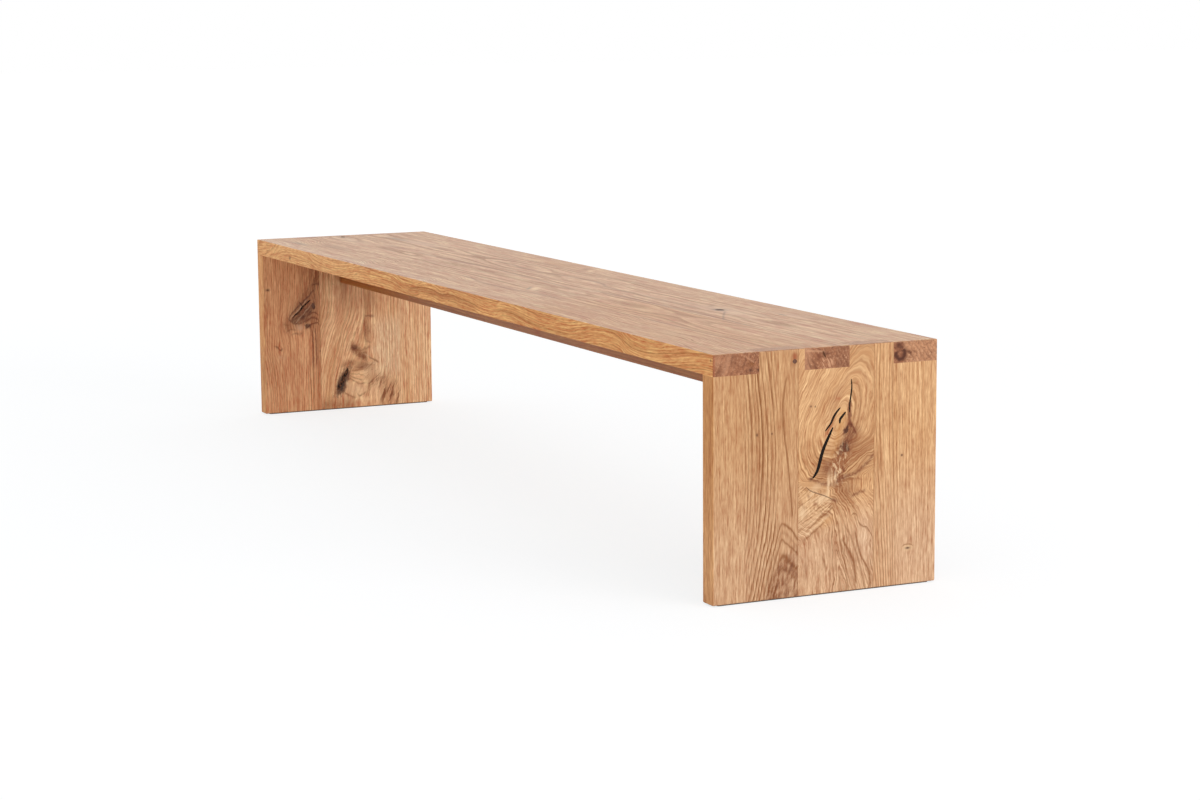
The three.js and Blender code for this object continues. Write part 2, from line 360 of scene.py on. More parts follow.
def oak_colour(place, grain, tones):
    """The colour of the long grain, and the lines, pores and streaks that it was made from."""
    place = Place(place.across, place.along, grain.depth or place.depth, place.shift)
    reach = grain.reach

    def fibres(width, length, depth, shift, detail=2.0, roughness=0.6):
        return noise(place.vector(width, length, depth, grain.fibre, shift), detail, roughness)

    count = grain.rings + noise(wire_vector(grain.rings * 0.6, place.along / 900, 3.0), 1.0) * 0.35
    season = count.fraction()
    spring = season.step(0.0, 0.12) * season.step(0.75, 0.1)
    year = noise(wire_vector(count * 0.43, place.along / 700, 0.0), 1.0).step(-1.0, 0.7)
    breaks = fibres(2.6, 34, 2.6, 3).step(-1.2, 0.5)
    line = spring * year * (breaks * 0.7 + 0.3) * grain.lines
    broad = fibres(26, 190, 26, 7, 3.0, 0.5)
    band = fibres(reach * 7, 340, 7, 9)
    streak = fibres(reach * 3.2, reach * 80, 3.2, 11, roughness=0.65)
    fleck = fibres(reach * 2.2, reach * 18, 2.2, 13)
    dash = fibres(reach * 2.0, 16, 2.0, 19, 1.0, 0.5).step(0.5, 1.0)
    pore = fibres(1.1, 12, 1.1, 17, 1.0, 0.5).step(0.5, 0.9) * (line * 0.7 + 0.35)
    colour = tint((broad * 0.4 + band * 0.45) * grain.bands + 0.35, tones["pale"], tones["warm"])
    colour = lay_marks(colour, grain.fields, tones)
    colour = swing((streak * 0.7 + fleck * 0.52) * grain.streaks + 0.12, colour, tones["streak"])
    colour = tint(dash * grain.streaks * 0.5, colour, tones["streak"])
    colour = tint(line * 0.85, colour, tones["line"])
    colour = tint(pore * 0.7, colour, tones["stain"])
    return lay_marks(colour, grain.marks, tones), line, pore, streak


# %% [markdown]
# Across its end a board shows the rings themselves, finer and darker because the cut fibres drink the oil,
# with pale specks where the rays stand.

# %% The end grain of a stave
def end_grain_colour(place, grain, tones):
    count = (grain.end_rings or grain.rings) + noise(place.vector(14, 14, shift=31)) * 0.3
    season = count.fraction()
    year = noise(wire_vector(count * 0.4, 0.0, 0.0)).step(-1.0, 0.6)
    line = season.step(0.0, 0.2) * season.step(0.8, 0.2) * year
    blotch = noise(place.vector(11, 11, shift=23), 3.0, 0.7)
    mottle = noise(place.vector(5.5, 4.0, shift=27), 2.0, 0.6)
    speck = noise(place.vector(3.4, 3.0, shift=29), 2.0, 0.7)
    colour = swing(blotch * 0.3 + mottle * 0.22 + 0.2, tones["end"], tones["end line"])
    colour = tint(speck.step(0.1, 0.8) * 0.75, colour, tones["end ray"])
    colour = tint(speck.step(-0.15, -0.8) * 0.7, colour, tones["end line"])
    colour = tint(line * grain.end_lines, colour, tones["end line"])
    return lay_marks(colour, grain.end_marks, tones)


# %% [markdown]
# ## From figure to finished stave
#
# Some parts of a board are deeper than others. The narrow faces at the front and back are tinted golden,
# which is painted shade and a painted loss of sheen: the tint stands for the weaker light and sheen that
# those faces catch.
# The glue seams show as fine dark lines, and the ends, which drink the most oil, are darkest. Each is a mask
# over the same board, which starts and is full at two distances from the edge.

# %% Finish one stave
rim_reach = (1.6, 0.5)
seam_reach = (1.1, 0.3)
end_reach = (1.3, 0.4)
bump_strength = 0.6
oak_relief = 0.00025


def new_material(name):
    material = bpy.data.materials.new(name)
    material.use_nodes = True
    tree = material.node_tree
    tree.nodes.clear()
    return material, tree


def finish_surface(tree, colour, roughness, height, bump_distance, **constants):
    """A Principled shader with a bump, where constants are socket names with underscores."""
    start = Wire(tree)
    relief = {"Strength": bump_strength, "Distance": bump_distance, "Height": height}
    normal = start.node("ShaderNodeBump", None, relief)
    sockets = {"Base Color": colour, "Roughness": roughness, "Normal": normal}
    sockets.update({name.replace("_", " "): value for name, value in constants.items()})
    shader = start.node("ShaderNodeBsdfPrincipled", None, sockets)
    start.node("ShaderNodeOutputMaterial", None, {"Surface": shader})


def wear_material(name, material):
    mesh = nodes[name].data
    mesh.materials.clear()
    mesh.materials.append(material)


def paint_rim_shade(share, colour, rim_shade_tint):
    """Deepen a colour by a tint, as a filter does: the painted shade of a board's front and back faces."""
    settings = {"data_type": "RGBA", "blend_type": "MULTIPLY"}
    return share.node("ShaderNodeMix", settings, {0: share, 6: colour, 7: (*rim_shade_tint, 1)}, output=2)


def edge_mask(offset, half_width, reach):
    """0 within half a width of the middle, climbing to 1 at the edge."""
    start, full = reach
    return offset.size().step(half_width - start, half_width - full)


def oak_stave(name, place_maker, grain_maker, shift, end_mask, rim_shade_tint, tones=None):
    material, tree = new_material("oak_" + name)
    place = place_maker(tree, shift)
    grain = grain_maker(place)
    tones = {**oak_tones, **(tones or {})}
    colour, line, pore, streak = oak_colour(place, grain, tones)
    rim = edge_mask(place.across - bench_width / 2, bench_width / 2, rim_reach)
    # Painted shade: the front and back faces are deepened by the rim tint, for the weaker light and sheen
    # they catch.
    colour = paint_rim_shade(rim, colour, rim_shade_tint)
    front, back = [corner.y * MM + bench_width / 2 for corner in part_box(name)]
    seam = edge_mask(place.across - (front + back) / 2, (back - front) / 2, seam_reach)
    colour = tint(seam * (1 - rim) * 0.45, colour, tones["line"])
    end = end_mask(place)
    colour = tint(end, colour, end_grain_colour(place, grain, tones))
    roughness = 0.38 + line * 0.08 + pore * 0.2 + rim * 0.25
    height = 1 - pore * 0.7 - line * 0.25 + streak * 0.06
    finish_surface(tree, colour, roughness, height, oak_relief, Specular_IOR_Level=0.25)
    wear_material(name, material)
    print(name, "has", len(tree.nodes), "nodes")


# %% [markdown]
# The ends of the seat staves show at both ends of the bench, and those of the leg staves on the seat and on
# the floor side. The masks start a little inside the end, so that the eased edge belongs to it.

# %% Where the ends are
leg_bottom = bench_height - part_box("right_leg_stave_1")[0].z * MM


def seat_end(place):
    return edge_mask(place.along, bench_length / 2, end_reach)


def leg_end(place):
    """Full on the floor side; on the seat the polished tongues show only streaks of it."""
    start, full = end_reach
    streaks = noise(place.vector(26, 1000, 3.2, shift=33), 2.0, 0.6)
    top = place.along.step(start, full) * (streaks * 0.7 + 0.5).step(0.0, 1.0)
    return top.larger(place.along.step(leg_bottom - start, leg_bottom - full))


# Tints of the painted shade on the front and back faces of the legs and the seat.
leg_rim_shade = (1.1, 0.94, 0.72)
seat_rim_shade = (1.28, 1.1, 0.76)
print("legs end", round(leg_bottom, 2), "mm below the seat's top")

# %% [markdown]
# ## Tools for drawing a figure
#
# Small tools describe what a tree does to straight grain: it wanders, it parts round a knot, and it is
# marked by ovals and strokes of darker or paler wood. Streaks that run at an angle use the same board
# turned, and ragged marks use it with every spot pushed a little aside. Drawn this way a knot is a few
# numbers read off the photograph, and its edge stays sharp at any distance.

# %% Wander, ovals, strokes, turned and ragged boards
def wander(place, reach, amount, shift=0, stretch=7):
    """A slow sideways drift of the grain, in millimetres."""
    return noise(place.vector(reach, reach * stretch, shift=shift), 1.0) * amount


def oval(place, across, along, radius_across, radius_along, lean=0.0):
    """1 at the middle of an oval on the face, falling to nothing outside it; lean is in degrees."""
    turned_by = math.radians(lean)
    right = place.across - across
    down = place.along - along
    short = (right * math.cos(turned_by) + down * math.sin(turned_by)) / radius_across
    tall = (down * math.cos(turned_by) - right * math.sin(turned_by)) / radius_along
    return (short * short + tall * tall).root().bell()


def parted(value, place, across, along, reach_across, reach_along, amount, lean=0.0):
    """The same lines, pushed apart to run round a knot."""
    return value - (value - across) * oval(place, across, along, reach_across, reach_along, lean) * amount


def stroke(value, points, guide, width, edge=6):
    """A drawn line: 1 where value is on the curve that follows guide, between the curve's two ends."""
    first, last = points[0][0], points[-1][0]
    inside = guide.step(first - edge, first + edge) * guide.step(last + edge, last - edge)
    return ((value - guide.follow(points)) / width).bell() * inside


def patches(place, *rows):
    """Ovals as marks, each given as its tone, its share and the numbers of its oval."""
    return [(oval(place, *spot) * share, tone) for tone, share, *spot in rows]


def total(parts):
    """The sum of several masks."""
    result, *others = parts
    for part in others:
        result = result + part
    return result


def ovals(place, *spots):
    """Several ovals as one mask, each given by the numbers of its oval."""
    return total([oval(place, *spot) for spot in spots])


def strokes(value, guide, *drawn):
    """Several strokes as one mask, each given as its points, its width and how slowly its ends fade."""
    return total([stroke(value, points, guide, *widths) for points, *widths in drawn])


def turned(place, degrees):
    """The same board read at an angle: its new long direction leans to the right going down."""
    angle = math.radians(degrees)
    across = place.across * math.cos(angle) - place.along * math.sin(angle)
    along = place.across * math.sin(angle) + place.along * math.cos(angle)
    return Place(across, along, place.depth, place.shift)


def roughened(place, reach, amount, shift=60):
    """The same board with every spot pushed a little aside, which makes the edges of its marks ragged."""
    aside = noise(place.vector(reach, reach * 1.5, shift=shift), 2.0, 0.65) * amount
    down = noise(place.vector(reach, reach * 1.5, shift=shift + 7), 2.0, 0.65) * amount * 1.4
    return Place(place.across + aside, place.along + down, place.depth, place.shift)


def hairs(place, degrees, width, length, shift):
    """Fine streaks at an angle, about 0."""
    return noise(turned(place, degrees).vector(width, length, 6, shift=shift), 2.0, 0.6)


def ticks(place, degrees, width, length, shift, start=0.1, end=0.6):
    """Short streaks at an angle, 1 in each and 0 between them."""
    return hairs(place, degrees, width, length, shift).step(start, end)


# %% [markdown]
# ## The right leg
#
# Its front stave has quiet grain by the edge, then straight lines, and a heart that comes to the face low
# down, where the rings turn into pointed flames over a dark patch.

# %% Right leg, front stave
def right_front_grain(place):
    across = place.across + wander(place, 38, 2.0) + wander(place, 9, 1.0, 5, stretch=6)
    flow = place.along.follow(
        [(0, 105), (65, 114), (130, 120), (190, 122), (250, 120), (315, 115), (380, 101), (450, 84)])
    rings = (across - flow + place.depth * 0.7) / 7.3 - 3
    aside = across - 137
    rounded = (aside * aside + 20).root()
    flame = place.along - 304 + wander(place, 14, 5.0, 8, stretch=2) - rounded * 2.58 + aside * 1.52
    flames = (
        (flame / 3.6).bell() + ((flame - 29) / 3.6).bell() * 0.9 + ((flame - 58) / 5).bell()
        + ((flame - 80) / 3.4).bell() * 0.7 + ((flame - 14) / 2.8).bell() * 0.4
    )
    flames = flames * place.along.step(300, 318) * place.across.step(94, 112)
    lens = place.across.step(116, 134) * (1 - place.along.step(290, 320) * place.across.step(138, 124))
    lines = 0.2 + place.across.step(56, 72) * 1.15 - lens * 1.0
    spread = place.across + (place.along - 370) * 0.42
    patch = spread.step(122, 146) * (place.along + place.across * 0.6).step(446, 474)
    smear = noise(turned(place, -24).vector(9, 22, shift=2), 3.0, 0.65)
    stain = patch * (0.4 + smear * 0.8).step(0.0, 1.0)
    bend = [(50, 147), (80, 142), (110, 140), (150, 143), (200, 150), (300, 160)]
    dark = stroke(place.across, bend, place.along, 1.6)
    halo = oval(place, 164, 20, 6, 11, 12) * 0.8 + oval(place, 163, 10, 5, 4) * 0.4
    pins = ovals(place, (88, 148, 2.2, 3), (118, 148, 1.8, 1.8))
    marks = [
        (patch * 0.42, "brown"),
        (flames * 0.75, "line"),
        (stain * 0.6, "rust"),
        (stain * (smear * 0.5), "stain"),
        (patch * (smear * -0.7), "beige"),
        (dark * 0.8, "line"),
        (halo, "brown"),
        (oval(place, 164, 13, 4.5, 7) * 0.6, "red"),
        (pins * 0.8, "stain"),
    ]
    # Paler towards the floor: painted sheen, for the white floor mirrored in the lower face.
    fields = [(place.along.step(120, 440) * 0.48, "beige")]
    return Grain(rings, across, lines=lines, marks=marks, fields=fields, streaks=1 + patch * 0.5)


quiet_tones = {"pale": linear(218, 171, 123), "warm": linear(193, 139, 93)}
oak_stave("right_leg_stave_1", right_leg_place, right_front_grain, 10, leg_end, leg_rim_shade, quiet_tones)

# %% [markdown]
# The middle stave holds the swirl round an old branch. Its rings are leaning ovals, drawn out upwards and
# pressed together below. Under the swirl three families of lines meet: ripples to the right, slanted lines to
# the left, and upright wavy lines that fan out below them all.

# %% Right leg, rings of the middle stave
def right_middle_rings(place):
    lean = math.radians(24.6)
    across = place.across + wander(place, 26, 3.0, stretch=2.5) + wander(place, 8, 1.2, 5, stretch=3)
    right = across - 248
    down = place.along - 150 + wander(place, 22, 4.0, 9, stretch=1)
    tall = right * math.sin(lean) - down * math.cos(lean)
    short = right * math.cos(lean) + down * math.sin(lean)
    wide = short.larger(0) * (0.11 + tall.step(20, -40) * 0.07) - short.smaller(0) * 0.19
    high = tall.larger(0) * 0.045 - tall.smaller(0) * 0.13
    swirl = (high * high + wide * wide).root()
    rough = noise(place.vector(13, 45, shift=4), 2.0) * 0.5 + noise(place.vector(5, 16, shift=6), 1.0) * 0.25
    under_fold = place.along - 285 - (245 - place.across).larger(0) * 0.72
    fan = under_fold.follow([(-20, -18), (0, 0), (10, 8), (25, 15), (45, 19), (70, 21), (160, 21)])
    comb = across - 150 - fan
    ripple_right = across - 240 - (place.along - 322).larger(0) * 0.3
    ripple_up = (place.along - 322 + wander(place, 16, 3.0, 12, stretch=1)).smaller(0)
    ripple = (ripple_right * ripple_right + ripple_up * ripple_up).root() * 1.3 + 78
    lower = 39.7 - comb.smooth_smaller(ripple, 8) / 6.4 + rough
    change = (place.along + (place.across - 250).larger(0) * 0.35).step(238, 260)
    rings = swirl.towards(lower, change)
    return rings, (swirl * 6).towards(lower * 6, change)


# %% [markdown]
# Where the branch itself left the trunk the wood is mottled: dark and red on the right of the cracks, curled
# in cream and brown beneath, and a pale flame below the fine crack at the left. First come the marks above.

# %% Right leg, marks round the cracks
def marks_round_cracks(place, rough, mottle):
    across, along = place.across, place.along
    slanted = hairs(place, -28, 3.0, 20, 40)
    rays = ticks(rough, -40, 2.8, 22, 44, -0.1, 0.6)
    spine = stroke(across, [(115, 264), (150, 256), (175, 250), (200, 242)], along, 8, 10)
    shade = oval(rough, 277, 172, 16, 44, 16)
    beside = oval(rough, 304, 192, 28, 30, 40)
    branch = stroke(rough.across, [(98, 279), (120, 277), (136, 277), (150, 279)], rough.along, 5, 8)
    eye = stroke(
        rough.along, [(264, 159), (270, 149), (277, 142), (284, 149), (291, 160)], rough.across, 4.6, 3)
    pupil = oval(rough, 270, 153, 5, 9, 35)
    core = ovals(rough, (265, 183, 10, 13, 25), (272, 188, 6, 4), (257, 196, 5, 5))
    torn = stroke(rough.across, [(150, 285), (165, 277), (180, 269), (194, 260)], rough.along, 13, 8)
    left_edge = stroke(across, [(140, 242), (150, 234), (162, 226)], along, 3.2, 5)
    under = oval(rough, 228, 222, 19, 26, 12)
    return [
        (oval(rough, 250, 92, 11, 30, 25) * 0.35, "brown"),
        (spine * (0.5 + slanted * 0.2), "amber"),
        (shade * (0.6 + mottle * 0.35) + beside * 0.45, "brown"),
        (beside * rays * 0.3, "line"),
        (torn * (slanted * 0.8 + 0.6), "rust"),
        (torn * rays * 0.4, "stain"),
        (under * (0.65 + slanted * 0.35), "brown"),
        (oval(rough, 232, 220, 8, 9) * 0.6, "rust"),
        ((branch + mottle * 0.35 - 0.1).step(0.3, 0.8) * 0.75, "rust"),
        (eye * 0.95, "rust"),
        ((pupil + mottle * 0.4).step(0.4, 0.8) * 0.9, "stain"),
        ((core + mottle * 0.55).step(0.4, 0.9) * 0.95, "stain"),
        (left_edge * 0.6, "red"),
        *patches(rough, ("red", 0.5, 253, 95, 5, 4, 30), ("red", 0.4, 293, 68, 3, 4, -30)),
        (ovals(place, (197, 105, 2.4, 2), (206, 106, 1.8, 1.8)) * 0.7, "stain"),
    ]


# %% [markdown]
# Under the cracks the fibres were torn and grew over: curls of cream, a dark fold from the right that ends in
# a node, and the pale flame with its slanted folds.

# %% Right leg, marks under the cracks
def marks_under_cracks(place, rough, mottle):
    across, along = place.across, place.along
    curly = (oval(rough, 255, 217, 16, 34, 8) * 1.4).smaller(1)
    curls = noise(turned(rough, 14).vector(5.2, 12, shift=41), 2.0, 0.6)
    band = stroke(
        rough.along, [(246, 250), (256, 241), (270, 237), (288, 233), (304, 224), (328, 200)], across, 4.2)
    shelf = oval(rough, 272, 266, 16, 34, 42)
    second = stroke(rough.along, [(258, 248), (272, 244), (290, 243), (302, 246)], across, 2.6)
    neck = oval(rough, 256, 252, 9, 14, 25)
    smear = stroke(rough.along, [(194, 237), (206, 240), (218, 245), (242, 250)], across, 3.2)
    flames = ovals(rough, (234, 247, 2.6, 17, 4), (248, 236, 2.2, 11, 4), (241, 240, 1.8, 9))
    crack_above = rough.along - (251 + (rough.across - 190) * 0.5)
    slant = (across - 245) * 0.56 + (rough.along - 290) * 0.83
    zone = crack_above.step(-2, 3) * slant.step(9, -8) * rough.across.step(246, 236)
    combed = hairs(place, -56, 2.6, 26, 42)
    crossed = ticks(place, 38, 2.4, 16, 43, 0.3, 0.8)
    fissure = stroke(along, [(188, 250), (198, 258), (210, 263), (226, 269), (242, 277)], across, 0.9, 2)
    folds = strokes(slant, across, ([(192, 1), (243, 0)], 1.8), ([(184, 13), (226, 12)], 2.0))
    wedge = ovals(rough, (226, 303, 10, 4, 10), (236, 300, 3, 2.5))
    dash = stroke(rough.along, [(282, 274), (294, 270), (311, 266)], across, 3.0, 3)
    zigzag = stroke(
        rough.along, [(283, 310), (290, 307), (297, 323), (304, 330), (313, 334), (327, 355)], across, 2.0, 3)
    pale = ovals(rough, (220, 274, 13, 7, -30), (181, 296, 7, 11))
    browner = ovals(rough, (193, 267, 5, 3.5, 40), (211, 285, 9, 3, 40), (181, 282, 7, 2, 70))
    return [
        (neck * (0.55 + mottle * 0.3), "brown"),
        (shelf * (0.5 + mottle * 0.2), "brown"),
        (curly * 0.7, "brown"),
        (curly * curls.step(0.0, 0.5) * 0.75, "cream"),
        (curly * curls.step(-0.1, -0.5), "rust"),
        (band * (mottle * 0.5 + 0.65), "rust"),
        (second * (0.55 + mottle * 0.3), "brown"),
        (oval(rough, 210, 252, 14, 6, -20) * 0.4, "cream"),
        (zone * (0.15 + combed * 0.9), "cream"),
        (zone * (combed * -1.3), "line"),
        (zone * crossed * 0.6, "brown"),
        (pale * (0.75 + mottle * 0.3), "cream"),
        (browner * 0.5, "brown"),
        (stroke(slant, [(186, 7), (238, 6)], across, 2.2) * 0.5, "cream"),
        (folds * (0.65 + mottle * 0.3), "line"),
        (wedge * 0.6, "brown"),
        (smear * (0.6 + mottle * 0.4), "rust"),
        (oval(rough, 198, 237, 3.5, 2.5) * 0.8, "stain"),
        (flames * 0.85, "cream"),
        (oval(rough, 247, 279, 7, 4, 30) * 0.8, "rust"),
        (dash * (0.6 + mottle * 0.4), "rust"),
        (zigzag * 0.7, "line"),
        (fissure * 0.9, "stain"),
    ]


# %% [markdown]
# All of this lies over the stave's own lines. They are strong in the arch above the branch and in the bowl of
# the swirl, and they fade where the wood is mottled, so quiet places are taken away from their strength. Low
# down at the right a few wide lines comb towards the floor.

# %% Right leg, middle stave
def right_middle_grain(place):
    rings, fibre = right_middle_rings(place)
    rough = roughened(place, 9, 2.6)
    mottle = noise(place.vector(5, 8, shift=2), 3.0, 0.65)
    arch = place.across.step(262, 292) * place.along.step(170, 130)
    bowl = (place.along + (248 - place.across).size() * 0.3).step(168, 200)
    bowl = bowl * (place.across.step(225, 195) * -0.5 + place.across.step(270, 290) * -0.35 + 1.1)
    quiet = (
        oval(rough, 310, 290, 20, 46) * 0.8 + oval(rough, 308, 252, 24, 16)
        + oval(rough, 208, 280, 36, 28, 50) + oval(rough, 222, 318, 20, 16) * 0.8
        + oval(rough, 308, 356, 13, 44) * 1.2
    )
    combed = place.across.step(262, 235) * place.along.step(330, 360)
    lines = 0.2 + arch * (0.5 + place.along.step(40, 110) * 0.25) + bowl - quiet - combed * 0.5
    combs = strokes(
        place.across, place.along,
        ([(352, 262), (366, 272), (382, 281), (396, 287), (414, 290), (436, 292)], 3),
        ([(340, 290), (362, 295), (385, 302), (402, 312), (420, 320), (446, 322)], 2.4),
    )
    fainter = [
        ([(352, 258), (380, 266), (410, 271), (446, 276)], 0.7),
        ([(330, 270), (345, 279), (365, 287), (400, 299), (446, 310)], 0.7),
        ([(380, 222), (394, 227), (406, 229)], 0.8),
    ]
    for points, strength in fainter:
        combs = combs + stroke(place.across, points, place.along, 2.2) * strength
    marks = [
        (combs * (mottle * 0.35 + 0.75), "line"),
        *patches(
            rough, ("brown", 0.6, 282, 386, 5, 16, -30), ("brown", 0.45, 188, 400, 5, 24),
            ("amber", 0.4, 228, 316, 16, 9, -20)),
    ]
    marks += marks_round_cracks(place, rough, mottle) + marks_under_cracks(place, rough, mottle)
    fields = [
        # The first field, paler towards the floor, is painted sheen, for the white floor mirrored in the
        # lower face.
        (place.along.step(240, 380) * 0.65, "beige"),
        *patches(rough, ("pale", 0.35, 205, 85, 20, 40, 15), ("beige", 0.6, 308, 352, 15, 44)),
        (place.across.step(262, 280) * place.along.step(60, 25) * 0.13, "brown"),
    ]
    streaks = 1 + oval(place, 255, 220, 60, 75) * 0.6
    return Grain(rings, fibre, lines=lines.larger(0), marks=marks, fields=fields, streaks=streaks)


oak_stave("right_leg_stave_2", right_leg_place, right_middle_grain, 20, leg_end, leg_rim_shade)

# %% [markdown]
# The back stave is cut nearly square to the rings, so its lines are straight and quiet, with one small eye.

# %% Right leg, back stave
def right_back_grain(place):
    across = place.across + wander(place, 45, 2.0) + wander(place, 10, 0.8, 5)
    drift = place.along.follow([(0, 0), (150, 0), (300, 9), (450, 22)])
    across = across - drift * place.across.step(420, 330)
    across = parted(across, place, 402, 381, 12, 22, 0.6)
    rings = (across - 250 + place.depth * 0.5) / 6.8
    lines = 0.3 + place.across.step(385, 366) * 0.55
    lash = stroke(place.along, [(390, 377), (400, 374), (412, 378)], place.across, 1.3, 3)
    marks = [
        (oval(place, 402, 380, 10, 6) * 0.6, "flame"),
        (lash * 0.6, "line"),
        (oval(place, 401, 381, 5, 2), "stain"),
        (oval(place, 387, 208, 2, 2), "stain"),
    ]
    # Paler towards the floor: painted sheen, for the white floor mirrored in the lower face.
    paler = place.along.step(150, 400) * (place.across.step(345, 395) * 0.25 + 0.45)
    return Grain(rings, across, lines=lines, marks=marks, fields=[(paler, "beige")])


oak_stave("right_leg_stave_3", right_leg_place, right_back_grain, 30, leg_end, leg_rim_shade)

# %% [markdown]
# ## The left leg
#
# Its inner face is the one that shows. The front stave is the reddest of the bench, with a long split knot;
# the middle stave parts round a knot hole, and below it the lines sweep out to the right; the back stave is
# straight. The split knot lies slantwise: a dark lid and sill with a stained filling between them, curls of
# darker wood to the right of it and below, and a few small cracks round about.

# %% Left leg, marks of the split knot
def marks_of_split_knot(place, rough, mottle):
    across, along = place.across, rough.along
    slanted = hairs(place, -46, 3.2, 24, 40)
    halo = oval(rough, 107, 188, 23, 48, 48)
    # The broad part of this mark, darker high up and towards the back, is partly darker wood and partly
    # painted shade under the seat.
    above = oval(rough, 120, 136, 13, 50, 38) * 0.8 + across.step(80, 150) * place.along.step(165, 70)
    hanging = ticks(rough, -14, 4, 50, 53, -0.4, 0.6)
    lid = stroke(along, [(66, 211), (70, 200), (84, 183), (100, 169), (118, 153), (136, 134)], across, 3.4)
    fill = stroke(along, [(72, 208), (88, 208), (104, 203), (118, 194), (131, 182)], across, 10)
    sill = stroke(along, [(66, 204), (76, 214), (92, 219), (106, 216), (116, 206)], across, 3)
    crease = stroke(rough.across, [(126, 138), (150, 138), (182, 136)], place.along, 2.4)
    side = oval(rough, 135, 177, 5, 9)
    behind = oval(rough, 128, 212, 24, 26)
    curls = strokes(
        along, across,
        ([(114, 208), (124, 197), (135, 193), (147, 201)], 2.6),
        ([(110, 222), (122, 209), (134, 206), (148, 216)], 2.6),
        ([(116, 234), (128, 222), (140, 220), (150, 230)], 2.4),
    )
    clot = oval(rough, 117, 226, 9, 9)
    smear = oval(rough, 63, 222, 13, 13)
    ripple = strokes(
        along, across,
        ([(74, 249), (84, 244), (94, 246), (106, 241)], 2.6), ([(60, 240), (72, 233), (84, 236)], 2.4))
    fall = strokes(
        rough.across, place.along,
        ([(236, 125), (262, 131), (300, 131), (335, 132)], 2.8, 12),
        ([(232, 134), (255, 139), (290, 140), (330, 140)], 2.4, 12),
    )
    small = stroke(along, [(28, 275), (36, 277), (42, 286), (48, 284)], across, 3.4, 4)
    cross = stroke(along, [(96, 165), (102, 171), (108, 180)], across, 3.4, 3)
    ledge = stroke(along, [(132, 122), (142, 119), (153, 122)], across, 3)
    spots = ovals(place, (12, 128, 5, 3), (152, 294, 3, 3))
    return [
        (behind * (0.55 + mottle * 0.3), "brown"),
        (above * (0.3 + mottle * 0.2 + hanging * 0.4), "brown"),
        (above * hanging * 0.3, "rust"),
        (halo * (0.85 + mottle * 0.2), "rust"),
        (halo * (slanted * 0.7), "brown"),
        (oval(rough, 113, 166, 4, 22, 46) * 0.5, "brown"),
        (fill * (0.5 + mottle * 0.35 + slanted * 0.5), "stain"),
        (stroke(along, [(70, 207), (93, 184), (118, 158)], across, 1.8) * 0.55, "beige"),
        (stroke(along, [(84, 217), (105, 197), (128, 172)], across, 1.8) * (0.4 + mottle * 0.5), "beige"),
        (sill * (0.5 + mottle * 0.3), "stain"),
        (lid * (0.65 + mottle * 0.3), "stain"),
        ((side + mottle * 0.3).step(0.3, 0.8) * 0.95, "stain"),
        (crease * (0.4 + mottle * 0.4), "stain"),
        (curls * (0.8 + mottle * 0.3), "rust"),
        ((clot + mottle * 0.4).step(0.3, 0.9) * 0.8, "stain"),
        (smear * (0.45 + mottle * 0.5), "brown"),
        (ripple * (0.4 + mottle * 0.4), "rust"),
        (fall * 0.7, "rust"),
        *patches(rough, ("brown", 0.35, 145, 285, 6, 40), ("beige", 0.55, 95, 230, 9, 7)),
        (oval(rough, 47, 304, 8, 7) * (mottle * 0.8 + 0.3), "beige"),
        (small * (0.6 + mottle * 0.4), "rust"),
        ((cross + spots + ledge * 0.6) * 0.9, "stain"),
    ]


# %% [markdown]
# Under these marks the stave's own lines part twice, round the split knot and round a small one low down, and
# by the front edge they lean to the right further down.

# %% Left leg, front stave
def left_front_grain(place):
    rough = roughened(place, 10, 2.6)
    across = place.across
    fibre = across + wander(place, 40, 3.5) + wander(place, 9, 1.2, 5)
    fibre = parted(fibre, place, 106, 188, 34, 52, 0.6, 40)
    fibre = parted(fibre, place, 42, 284, 15, 24, 0.7)
    lean = place.along.follow([(270, 0), (330, 14), (450, 26)]) * across.step(104, 60)
    rings = (fibre - lean + place.depth * 0.5) / 6.4
    lines = 0.4 + across.step(96, 128) * 0.45 + place.along.step(280, 340) * 0.3
    mottle = noise(place.vector(6, 7, shift=2), 3.0, 0.65)
    fields = [
        # Paler high up by the front: painted light that lifts the shadow of the seat there.
        (place.along.step(230, 120) * across.step(110, 60) * 0.4, "pale"),
        (place.along.step(240, 340) * 0.1, "grey"),
    ]
    marks = marks_of_split_knot(place, rough, mottle)
    return Grain(rings, fibre, lines=lines, marks=marks, bands=1.3, fields=fields)


# %% [markdown]
# Round the knot hole the fibres fan out to the right like rays, fold into a chevron, and then hang down as
# slanted hatching over a browner corner.

